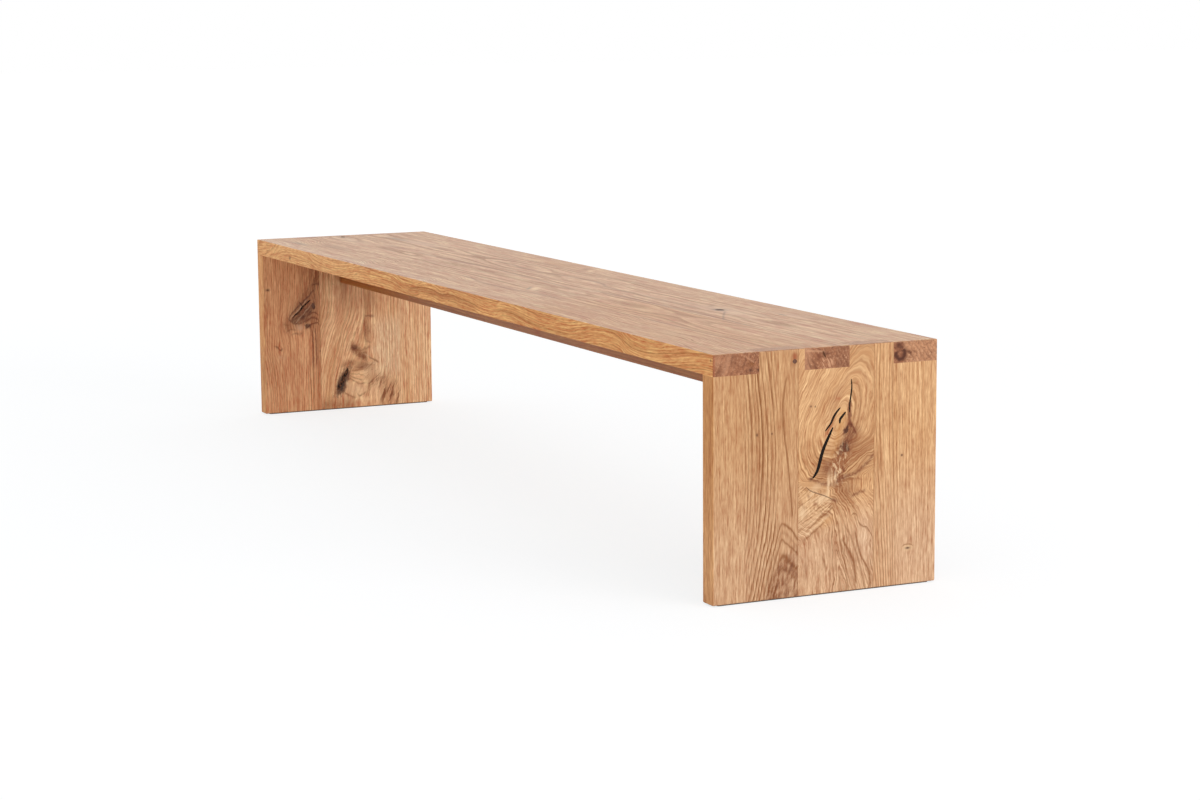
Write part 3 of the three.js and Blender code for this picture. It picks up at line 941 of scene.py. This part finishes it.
# %% Left leg, marks round the knot hole
def marks_round_hole(place, rough, mottle):
    across, along = place.across, rough.along
    hole = oval(rough, 212, 376, 13, 38, 24) + oval(rough, 205, 392, 10, 14) * 0.6
    ragged = noise(rough.vector(4, 6, shift=47), 2.0, 0.6)
    fibres = hairs(rough, -24, 3.4, 24, 52)
    brow = stroke(along, [(208, 336), (230, 331), (258, 334), (276, 340), (290, 348)], across, 9, 10)
    lashes = ticks(rough, 80, 3.2, 30, 48, -0.15, 0.5)
    rays = strokes(
        along, across,
        ([(230, 350), (252, 350), (276, 352)], 2.2),
        ([(232, 357), (250, 361), (272, 366)], 2.2),
        ([(230, 364), (248, 372), (266, 378)], 2.2),
        ([(230, 372), (248, 382), (260, 387), (274, 384)], 2.6),
    )
    arms = ticks(rough, -50, 3.4, 30, 49, -0.1, 0.5)
    wing = stroke(along, [(268, 362), (286, 355), (304, 351)], across, 18)
    slope = stroke(along, [(280, 380), (300, 375), (318, 382), (332, 392)], across, 16)
    hung = ticks(rough, -20, 4.6, 60, 50, -0.2, 0.4)
    corner = stroke(along, [(312, 408), (330, 412), (350, 416), (368, 424)], across, 34, 12)
    vee = stroke(along, [(249, 402), (256, 418), (264, 416), (274, 408)], across, 2.6)
    around = stroke(along, [(212, 403), (224, 414), (246, 423)], across, 2.6)
    low = oval(rough, 300, 408, 54, 34)
    return [
        *patches(rough, ("cream", 0.45, 246, 400, 34, 24), ("brown", 0.35, 210, 376, 18, 34, 25)),
        (brow * (0.55 + mottle * 0.3), "brown"),
        (oval(rough, 268, 342, 22, 8, -12) * (0.5 + lashes * 0.4), "rust"),
        (rays * (0.45 + mottle * 0.35), "line"),
        (wing * (1 - arms) * 0.4, "cream"),
        (wing * (0.1 + arms * 0.8), "line"),
        (slope * (0.35 + arms * 0.6), "brown"),
        (slope * arms * 0.5, "rust"),
        (low * (1 - hung) * 0.35, "cream"),
        (low * hung * 0.4, "line"),
        (corner * (0.2 + hung * 0.8), "brown"),
        (corner * hung * 0.45, "rust"),
        ((around + vee) * (0.5 + mottle * 0.4), "line"),
        ((hole + mottle * 0.35).step(0.1, 0.6) * 0.8, "stain"),
        ((hole + ragged * 0.45 + fibres * 0.4 - 0.35).step(0.2, 0.8) * 0.8, "dark"),
        (hole * (fibres + ragged * 0.5).step(0.1, 0.7) * 0.7, "brown"),
        (oval(rough, 223, 383, 4, 6) * 0.7, "cream"),
    ]


# %% [markdown]
# Above the hole the stave is browner down its middle, with a smudged clot low in it, and a thin dark bracket
# stands to the right. The lines grow fainter below, where the rays take over, so the hole's own marks are
# laid over a quiet ground.

# %% Left leg, middle stave
def left_middle_grain(place):
    rough = roughened(place, 10, 2.6)
    comb = place.along.follow([(110, 0), (180, 4), (250, 26), (320, 44), (380, 58), (450, 64)])
    drift = comb * place.across.step(305, 215)
    across = place.across + drift + wander(place, 34, 3.0) + wander(place, 9, 1.2, 5)
    upright = (across + place.depth * 0.5) / 8.2
    below = place.across.step(222, 246) * (place.along - place.across * 0.4).step(240, 262)
    mottle = noise(place.vector(6, 8, shift=2), 3.0, 0.65)
    swath = place.across.step(184, 214) * place.across.step(316, 292) * place.along.step(232, 140)
    streaky = ticks(place, 1, 5, 90, 12, -0.3, 0.6)
    smudge = stroke(rough.along, [(234, 288), (246, 296), (260, 308), (280, 318)], place.across, 17, 6)
    clot = ovals(rough, (244, 290, 12, 10), (269, 314, 12, 8))
    fold = stroke(rough.along, [(256, 300), (270, 297), (288, 290)], place.across, 4)
    post = stroke(rough.across, [(214, 275), (240, 274), (279, 277)], rough.along, 2.6, 12)
    post = post * (mottle * 0.6 + 0.7)
    shade = oval(rough, 283, 250, 10, 26) + oval(rough, 290, 172, 19, 34) * (streaky * 0.6 + 0.5)
    tick = stroke(rough.along, [(275, 208), (286, 210), (300, 212)], rough.across, 3.2, 5)
    tick = tick + stroke(rough.along, [(276, 275), (284, 278), (292, 280)], rough.across, 3.2, 4) * 0.5
    short = ticks(place, -24, 3.4, 28, 51, 0.0, 0.6) * oval(rough, 256, 244, 18, 40, 20)
    ledge = stroke(rough.along, [(284, 318), (297, 325), (310, 333)], place.across, 2.8, 3)
    pale = stroke(rough.along, [(272, 308), (288, 320), (303, 334)], place.across, 2.6, 3)
    marks = [
        (swath * (0.2 + streaky * 0.45), "brown"),
        (shade * (0.6 + mottle * 0.35), "brown"),
        (short * 0.6, "line"),
        ((smudge + mottle * 0.4).step(0.1, 1.2) * 0.9, "brown"),
        (clot * (0.65 + mottle * 0.6), "rust"),
        (oval(rough, 244, 290, 7, 6) * (0.4 + mottle * 0.5), "stain"),
        (fold * 0.6, "brown"),
        (pale * (0.5 + mottle * 0.6), "cream"),
        ((post + tick * 0.8) * 0.75, "rust"),
        (ledge * 0.7, "line"),
        (oval(rough, 298, 336, 5, 3) * 0.8, "cream"),
    ] + marks_round_hole(place, rough, mottle)
    right = place.across.step(285, 318) * place.along.step(190, 250) * place.along.step(400, 340)
    fields = [
        (right * 0.75, "cream"),
        (oval(rough, 300, 300, 16, 12) * 0.5, "cream"),
        (place.along.step(404, 440) * place.across.step(266, 232) * (0.55 + mottle * 0.3), "brown"),
    ]
    lines = (0.55 - below * 0.45).larger(0)
    return Grain(upright, across, lines=lines, marks=marks, bands=1.8, fields=fields)


# %% [markdown]
# The back stave is straight and plain, and the rail under the seat wears the same grain further down. This
# face stands in the shade of the seat, so its tones are set lighter than the near leg's, to come out as oak.

# %% Left leg, back stave
def straight_grain(place):
    across = place.across + wander(place, 45, 3.0) + wander(place, 10, 0.8, 5)
    rings = (across + place.depth * 0.5) / 6.8
    return Grain(rings, across, lines=0.6, bands=2.0, reach=1.2)


# Tint of the painted shade on the front and back faces of the far leg's front stave.
red_rim_shade = (1.0, 0.98, 0.8)
far_streak = linear(180, 64, 6)
red_tones = {"pale": linear(244, 184, 134), "warm": linear(212, 146, 100), "streak": far_streak}
light_tones = {"pale": linear(249, 201, 152), "warm": linear(221, 165, 116), "streak": far_streak}
lightest_tones = {"pale": linear(248, 204, 156), "warm": linear(228, 174, 126), "streak": far_streak}
oak_stave("left_leg_stave_1", left_leg_place, left_front_grain, 40, leg_end, red_rim_shade, red_tones)
oak_stave("left_leg_stave_2", left_leg_place, left_middle_grain, 41, leg_end, leg_rim_shade, light_tones)
oak_stave("left_leg_stave_3", left_leg_place, straight_grain, 42, leg_end, leg_rim_shade, lightest_tones)

# %% [markdown]
# ## The seat
#
# The seat is seen along its length, so only broad figure survives there: long dark lines that bow round the
# heart, pale and amber fields, a few knots. Its front edge cuts the rings of the first stave at a low angle,
# and they show there as long waves. At the ends each finger has its own end grain.

# %% Seat, front stave
def end_face(place):
    """The cut end of a finger, with its height in the place of the grain's length."""
    return Place(place.across, place.depth, 0.0, place.shift)


def long_line(place, points):
    """One of the long dark lines on the seat's top, with what it is drawn in."""
    return stroke(place.across, points, place.along, 5, 30) * 0.55, "brown"


def first_end_marks(place):
    """The front finger's end: paler slanted bands at the left, a net of dark flecks at the right."""
    face = end_face(place)
    rough = roughened(face, 7, 2.0)
    netted = ticks(face, 0, 4.2, 6, 44, 0.0, 0.5) * face.across.step(52, 68)
    lying = ticks(face, 82, 2.6, 22, 47, -0.1, 0.6) * oval(rough, 46, 30, 24, 10)
    return [
        *patches(
            rough, ("end ray", 0.38, 27, 20, 7, 24, 20), ("end ray", 0.35, 10, 12, 8, 10),
            ("end line", 0.3, 44, 15, 7, 10), ("end line", 0.4, 11, 30, 5, 8)),
        (place.across.step(6, 1) * 0.35, "red"),
        (lying * 0.45, "end line"),
        (stroke(rough.along, [(58, 3), (68, 9), (84, 17)], rough.across, 1.8) * 0.38, "end ray"),
        (netted * 0.6, "end line"),
        *patches(
            rough, ("line", 0.6, 77, 21, 6, 4), ("stain", 0.7, 74, 31, 3, 4),
            ("end line", 0.5, 62, 20, 3.5, 4), ("stain", 0.85, 91, 32, 2.4, 4)),
    ]


def seat_front_grain(place):
    across = place.across + wander(place, 30, 5.0)
    edge = place.across.step(8, 2)
    wave = place.along.follow([
        (-1250, 30), (-1110, 16), (-1000, 4), (-900, 4), (-830, 12), (-760, 18), (-700, 20), (-640, 18),
        (-560, 9), (-450, 0), (-350, 0), (-250, 8), (-180, 12), (-110, 4), (-60, 3), (0, 8), (47, 4),
        (100, 6), (180, 10), (250, 14), (300, 12), (353, 8), (407, 11), (480, 18), (560, 21), (620, 20),
        (700, 12), (780, 2), (830, 0), (900, 13), (950, 21), (1000, 23), (1060, 19), (1150, 8), (1210, 2),
        (1250, 0)])
    drift = noise(place.vector(60, 110, 9, shift=3), 2.0) * 3
    fall = place.depth * (1 - place.along.step(-1040, -1130) * 0.7) - wave
    rings = (across * 0.8 + fall + drift) / 5.6
    bow = [(-230, 132), (-100, 118), (0, 106), (120, 110), (220, 120), (340, 124)]
    smear = noise(place.vector(30, 90, 12, shift=2), 2.0)
    rough = roughened(Place(place.depth, place.along, 0.0, place.shift), 9, 1.5)
    down, along = rough.across, rough.along
    arch = stroke(down, [
        (-185, 23), (-150, 18), (-110, 14), (-60, 13), (-20, 17), (0, 18), (47, 14), (100, 16), (160, 19),
        (200, 24)], along, 1.7, 20)
    under = stroke(down, [(-190, 28), (-110, 20), (-40, 21), (47, 20), (110, 22), (190, 28)], along, 6, 25)
    second = stroke(down, [(290, 23), (353, 18), (407, 21), (480, 28), (560, 32)], along, 1.7, 20)
    fine = strokes(
        down, along,
        ([(-860, 18), (-800, 25), (-700, 28), (-620, 28)], 1.5, 20),
        ([(835, 3), (880, 12), (920, 20), (970, 25), (1020, 25)], 1.3, 15),
        ([(1040, 22), (1100, 15), (1160, 9), (1210, 5)], 1.3, 15),
    )
    pale = stroke(down, [(-780, 2), (-720, 9), (-660, 11), (-600, 6), (-550, 3)], along, 1.8, 15)
    marks = [
        long_line(place, bow),
        (edge * under * 0.4, "brown"),
        (edge * (arch * 0.6 + second * 0.4 + fine * 0.3), "line"),
        (edge * pale * 0.6, "cream"),
        *patches(place, ("brown", 0.45, 105, -960, 20, 70), ("grey", 0.5, 58, -1085, 10, 55)),
        (edge * oval(rough, 26, -995, 4, 6) * 0.75, "stain"),
        (edge * oval(rough, 11, 1242, 2.5, 2.5) * 0.8, "stain"),
    ]
    fields = [
        (place.along.step(250, 500) * (1 - edge * 0.85) * (0.34 + smear * 0.3), "amber"),
        (place.across.step(48, 20) * place.along.step(200, -200) * place.depth.step(6, 1) * 0.5, "beige"),
        (place.across.step(8, 2) * place.along.step(-200, -800) * 0.4, "beige"),
    ]
    end_rings = (place.across + place.depth * 0.35 + wander(place, 14, 2)) / 9.5
    return Grain(
        rings, across, lines=0.75, marks=marks, bands=1.6 - edge * 0.4, reach=2.2 - edge * 1.0,
        depth=place.depth - wave * edge, end_rings=end_rings, end_marks=first_end_marks(place),
        end_lines=0.35, fields=fields)


# %% [markdown]
# The two middle staves are cut near the heart of the tree, which dips and rises under the face. Where it
# comes close the rings open into long ovals and tongues, so these rings are the distance from a line that
# wanders in the board. On the end the second finger's rings are short arcs, with pale hatching over them at
# the right.

# %% Seat, second stave
def seat_heart(place, heart, height, spacing):
    """Rings round a heart that runs along the board, which dips and rises under the face."""
    side = place.across - heart + wander(place, 40, 5.0, 1)
    under = noise(wire_vector(place.along / 420, place.shift * 1.0, 0.0), 1.0) * 9 + height - place.depth
    return (side * side * 0.3 + under * under).root() / spacing


def seat_second_grain(place):
    across = place.across + wander(place, 30, 5.0)
    middle = [(-720, 236), (-560, 232), (-300, 241), (-100, 238), (60, 232), (200, 222)]
    face = end_face(place)
    rough = roughened(face, 7, 2.0)
    right = place.across - 232
    fall = place.depth + 14
    arcs = (right * right + fall * fall).root() + wander(place, 9, 1.2, 4)
    combed = ticks(face, 27, 2.4, 18, 45, -0.1, 0.4) * face.across.step(214, 222)
    combed = combed * face.across.step(246, 240) * face.along.step(14, 22)
    parting = stroke(face.along, [(186, 5), (204, 6), (226, 9)], face.across, 1.8, 3)
    curved = strokes(
        face.across, face.along,
        ([(18, 190), (28, 193), (40, 198)], 1.6, 3), ([(22, 199), (30, 204), (40, 211)], 1.6, 3))
    marks = [
        long_line(place, middle),
        *patches(
            place, ("flame", 0.7, 155, 146, 9, 34, 32), ("grey", 0.5, 150, 128, 4, 30, 32),
            ("brown", 0.4, 235, -860, 8, 70), ("brown", 0.5, 214, -1195, 16, 60),
            ("beige", 0.5, 200, -1090, 22, 90), ("brown", 0.4, 130, 900, 6, 260)),
    ]
    end_marks = [
        (place.across.step(204, 192) * 0.3, "end ray"),
        (oval(rough, 252, 24, 13, 14) * (0.1 + wander(face, 4, 0.3, stretch=1)), "end line"),
        (combed * 0.8, "end ray"),
        (parting * 0.6, "end ray"),
        (curved * 0.5, "end line"),
        *patches(
            rough, ("rust", 0.65, 213, 16, 7, 6, 30), ("end line", 0.6, 229, 11, 6, 5),
            ("stain", 0.45, 223, 12, 3, 6, -20)),
    ]
    fields = [(place.along.step(250, 500) * (0.4 + wander(place, 60, 0.3)), "amber")]
    return Grain(
        seat_heart(place, 205, 34, 5.5), across, lines=0.8, marks=marks, bands=1.8, reach=2.2,
        end_rings=arcs / 8, end_marks=end_marks, end_lines=0.4, fields=fields)


# %% [markdown]
# The third stave is the other side of the heart and the back stave is quieter. Each has one filled knot in
# the top, with darker wood round it. On the end a ring knot lies right on their seam, so one function draws
# it and both staves wear it.

# %% Seat, third and back staves
def ring_knot(place):
    """The knot on the back finger's end: a dark ring, open above, with a dark spot and a tail."""
    face = roughened(end_face(place), 7, 1.6)
    right = face.across - 382
    down = face.along - 22.5
    ring = (((right * right + down * down).root() - 9.5) / 4.2).bell() * (down + right * 0.3).step(-9, -4)
    spot = oval(face, 379, 7, 6, 5.5) * (1 - oval(face, 380, 8, 2.5, 2) * 0.5)
    spot = spot + oval(face, 386, 11, 4, 3) * 0.5
    side = oval(face, 390, 25, 5, 8)
    tail = stroke(face.along, [(388, 17), (397, 19), (406, 23)], face.across, 3.2, 2)
    knot = ring.larger(spot).larger(side).larger(tail * 0.6) * place.along.step(-1, 1)
    return [(knot, "rust"), (knot * 0.85, "stain")]


def slanted_end(place):
    """Rings that slant down to the right on a finger's end."""
    return (place.across * 0.8 - place.depth * 0.6 + wander(place, 14, 2)) / 8.5


def speckles(place):
    """Pale specks of the rays, on the end of the third stave."""
    return noise(wire_vector(place.across / 3, place.depth / 3.4, 0.0), 1.0).step(0.15, 0.6)


def seat_third_grain(place):
    across = place.across + wander(place, 30, 5.0)
    bowed = [(-460, 303), (-350, 318), (-250, 306), (-100, 315), (0, 328), (80, 328), (190, 306), (340, 301),
             (620, 303)]
    lower = [(240, 252), (500, 258), (700, 262), (800, 257), (930, 254)]
    face = end_face(place)
    marks = [
        long_line(place, bowed),
        long_line(place, lower),
        *patches(
            place, ("beige", 0.5, 330, -940, 26, 130), ("grey", 0.55, 318, -1085, 9, 70),
            ("beige", 0.5, 330, 690, 30, 90), ("stain", 0.8, 322, 668, 12, 18)),
        (stroke(place.across, [(700, 318), (750, 288), (810, 256)], place.along, 3, 12) * 0.35, "stain"),
        (oval(place, 340, 600, 8, 28, 30) * 0.4, "brown"),
    ]
    end_marks = [
        (place.across.step(300, 280) * 0.28, "end line"),
        (ticks(face, 20, 3.4, 7, 48, -0.2, 0.5) * place.across.step(284, 274) * 0.22, "end ray"),
        (oval(face, 268, 21, 9, 7) * speckles(place), "end ray"),
    ]
    return Grain(
        seat_heart(place, 318, 30, 5.5), across, lines=0.8, marks=marks, bands=1.8, reach=2.2,
        end_rings=slanted_end(place), end_marks=end_marks + ring_knot(place))


def seat_back_grain(place):
    across = place.across + wander(place, 30, 5.0)
    drift = noise(place.vector(60, 160, 12, shift=3), 2.0) * 3
    marks = patches(
        place, ("brown", 0.6, 420, -160, 9, 24, 30), ("flame", 0.5, 412, -120, 8, 24, 30),
        ("beige", 0.5, 392, 830, 22, 60), ("stain", 0.7, 388, 800, 6, 16),
        ("amber", 0.35, 415, -300, 20, 160))
    return Grain(
        (across * 0.8 + place.depth * 0.6 + drift) / 6, across, lines=0.7, marks=marks, bands=1.8, reach=2.2,
        end_rings=slanted_end(place), end_lines=0.45, end_marks=ring_knot(place))


seat_tones = {"pale": linear(227, 183, 138), "warm": linear(197, 147, 106), "streak": linear(176, 68, 10)}
light_end = {"end": linear(204, 146, 106), "end ray": linear(230, 180, 140)}
oak_stave("seat_stave_1", seat_place, seat_front_grain, 50, seat_end, seat_rim_shade, seat_tones)
oak_stave("seat_stave_2", seat_place, seat_second_grain, 51, seat_end, seat_rim_shade, seat_tones)
oak_stave("seat_stave_3", seat_place, seat_third_grain, 52, seat_end, seat_rim_shade, seat_tones)
oak_stave("seat_stave_4", seat_place, seat_back_grain, 53, seat_end, seat_rim_shade, {**seat_tones, **light_end})

# %% [markdown]
# ## The rail
#
# The rail under the seat is one straight-grained board on edge. It hangs in the shade, where its oak looks
# deeper and browner, so it has its own tones.

# %% Rail
rail_tones = {"pale": linear(212, 143, 79), "warm": linear(181, 110, 53), "streak": linear(176, 68, 10)}
oak_stave("centre_rail", rail_place, straight_grain, 60, seat_end, leg_rim_shade, rail_tones)

# %% [markdown]
# ## Black filler, felt and dowels
#
# The cracks and the largest knots are filled with black resin and sanded flush; in three of the fills the
# brown of the wood still shows, and the two in the seat's top keep the frame's own plain black. Felt strips
# keep the legs off the floor, and plain beech dowels hold the rail. All of these are small, so each finish is
# one lumpy noise between two tones, and one function makes them all. Two knots of the right leg's middle
# stave are sound wood with a fine outline, so they wear the stave's own finish.

# %% Filler, felt, beech and dead knots
def lumpy_material(name, lump, noise_look, share, tones, roughness, relief, limited=True, **constants):
    """Lumps of some millimetres that change a finish's tone, its roughness and its height.

    share and roughness are a middle value and how far the lumps move it."""
    material, tree = new_material(name)
    spot = [part / length for part, length in zip(object_millimetres(tree), lump)]
    lumps = noise(wire_vector(*spot), *noise_look)
    mixed = lumps * share[1] + share[0]
    if limited:
        mixed = mixed.step(0.0, 1.0)
    colour = tint(mixed, *tones)
    finish_surface(tree, colour, roughness[0] + lumps * roughness[1], lumps, relief, **constants)
    return material


filler = lumpy_material(
    "black_filler_finish", (3, 3, 3), (3.0, 0.6), (0.3, 0.5), (linear(10, 6, 4), linear(46, 28, 18)),
    (0.5, 0.1), 0.0003, limited=False, Specular_IOR_Level=0.1)
knot_hole = lumpy_material(
    "knot_hole_finish", (5, 5, 7), (3.0, 0.65), (0.5, 1.1), (linear(16, 10, 8), linear(112, 72, 48)),
    (0.55, 0.1), 0.0004, Specular_IOR_Level=0.1)
felt = lumpy_material(
    "felt_finish", (1.2, 1.2, 0.6), (4.0, 0.7), (0.5, 0.5), (linear(84, 76, 68), linear(126, 116, 104)),
    (0.95, 0.03), 0.0006)
beech = lumpy_material(
    "beech_finish", (2, 0.8, 2), (3.0, 0.6), (0.5, 0.4), (linear(226, 186, 142), linear(196, 146, 100)),
    (0.6, 0.05), 0.0002)
knot = lumpy_material(
    "dead_knot_finish", (2, 2, 2), (3.0, 0.7), (0.5, 0.5), (linear(62, 34, 20), linear(128, 76, 46)),
    (0.55, 0.1), 0.0003, limited=False)

sound_knots = ("right_leg_lower_knot_fill", "right_leg_upper_knot_fill")
brown_fills = ("left_leg_knot_hole_fill", "left_leg_long_crack_fill", "seat_end_crack_fill")
for name in nodes:
    if name in sound_knots:
        wear_material(name, bpy.data.materials["oak_right_leg_stave_2"])
    elif name in brown_fills:
        wear_material(name, knot_hole)
    elif name.endswith("_knot_fill"):
        wear_material(name, knot)
    elif name.endswith("_fill"):
        wear_material(name, filler)
    elif name.endswith("_felt_strip"):
        wear_material(name, felt)
    elif "_dowel_" in name:
        wear_material(name, beech)
print("finishes worn:", sorted({piece.data.materials[0].name for piece in nodes.values()}))

# %% [markdown]
# ## Eased edges
#
# The joiner breaks every edge with a small flat. The frame keeps each facet apart, so a light would show the
# flats as separate planes. Welding the points and weighting the normals by area keeps the big faces flat and
# lets each small flat shade as a rounded edge.

# %% Round the shading of the eased edges
weld_within = 0.00001
sharpest_kept = math.radians(55)
for piece in nodes.values():
    piece.data.shade_smooth()
    weld = piece.modifiers.new("weld", "WELD")
    weld.merge_threshold = weld_within
    corners = piece.modifiers.new("sharp_corners", "EDGE_SPLIT")
    corners.split_angle = sharpest_kept
    even = piece.modifiers.new("even_normals", "WEIGHTED_NORMAL")
    even.keep_sharp = False
print("smoothed pieces:", len(nodes))

# %% [markdown]
# ## Floor, background and light
#
# The bench stands on a white sweep. Seen by the camera, or mirrored in something glossy, the floor glows
# white by itself and keeps a soft shadow; for the light on the bench it is plain pale paper.

# %% Floor
def shown_rays(tree):
    """1 for rays from the camera, and for mirrored and refracted ones."""
    start = Wire(tree)
    seen, glossy, through = [start.node("ShaderNodeLightPath", output=index) for index in (0, 3, 6)]
    return seen.larger(glossy).larger(through)


reach = 30
glow_fade = (2200, 6000)
glow_strength = 0.8
paper_tone = (0.85, 0.85, 0.85, 1)
shadow_tone = (0.328, 0.295, 0.295, 1)
floor_mesh = bpy.data.meshes.new("studio_floor")
floor_mesh.from_pydata(
    [(-reach, -reach, 0), (reach, -reach, 0), (reach, reach, 0), (-reach, reach, 0)], [], [(0, 1, 2, 3)])
floor = bpy.data.objects.new("studio_floor", floor_mesh)
bpy.context.scene.collection.objects.link(floor)
material, tree = new_material("studio_white")
start = Wire(tree)
x, y, z = object_millimetres(tree)
# Painted light and shade on the floor: the glow is dimmer near the bench and whiter out to six metres, which
# darkens the floor round the bench a little and makes up for the softbox's light falling off far away. Its
# cool tint, with the warmer grey of the part that catches the real shadow, keeps that shadow from turning
# warm in the light that the wood throws back.
far = (x * x + y * y).root().step(*glow_fade)
glow_tint = tint(far, linear(244, 249, 250), linear(249, 254, 255))
paper = start.node("ShaderNodeBsdfDiffuse", None, {"Color": paper_tone})
glow = start.node("ShaderNodeEmission", None, {"Color": glow_tint, "Strength": glow_strength})
shade = start.node("ShaderNodeBsdfDiffuse", None, {"Color": shadow_tone})
shown = start.node("ShaderNodeAddShader", None, {0: glow, 1: shade})
mix = start.node("ShaderNodeMixShader", None, {0: shown_rays(tree), 1: paper, 2: shown})
start.node("ShaderNodeOutputMaterial", None, {"Surface": mix})
floor_mesh.materials.append(material)
print("floor reaches", reach, "m each way")

# %% [markdown]
# A bright room lights the bench evenly, and one large softbox beyond the right leg, low and a little to the
# back, gives its faces their shape. The room is white to the camera and dimmer as a light, so the background
# stays clean without washing out the wood.

# %% World and lamps
room_light = 0.78
white = (1, 1, 1, 1)
world = bpy.data.worlds.new("studio_world")
bpy.context.scene.world = world
world.use_nodes = True
world.node_tree.nodes.clear()
start = Wire(world.node_tree)
lit = start.node("ShaderNodeBackground", None, {"Color": white, "Strength": room_light})
seen = start.node("ShaderNodeBackground", None, {"Color": white, "Strength": 1.0})
both = start.node("ShaderNodeMixShader", None, {0: shown_rays(world.node_tree), 1: lit, 2: seen})
start.node("ShaderNodeOutputWorld", None, {"Surface": both})


def softbox(name, where, target, size, power):
    lamp = bpy.data.lights.new(name, "AREA")
    lamp.shape = "RECTANGLE"
    lamp.size, lamp.size_y = size
    lamp.energy = power
    holder = bpy.data.objects.new(name, lamp)
    bpy.context.scene.collection.objects.link(holder)
    holder.location = where
    holder.rotation_mode = "QUATERNION"
    holder.rotation_quaternion = (Vector(target) - Vector(where)).to_track_quat("-Z", "Y")


key_angle = math.radians(25)
key_height = math.radians(16)
key_distance = 12
key_spot = Vector((
    math.cos(key_angle) * math.cos(key_height),
    math.sin(key_angle) * math.cos(key_height),
    math.sin(key_height),
)) * key_distance
key_size = (7, 4)
key_power = 400
softbox("side_softbox", key_spot, (0, 0, 0.2), key_size, key_power)
bpy.context.scene.view_settings.view_transform = "Standard"
print("softbox at", tuple(round(value, 2) for value in key_spot))

# %% [markdown] ## Sizes The box of the packed model is read at the start, as cad_box; no finish here moves or
# resizes a piece.
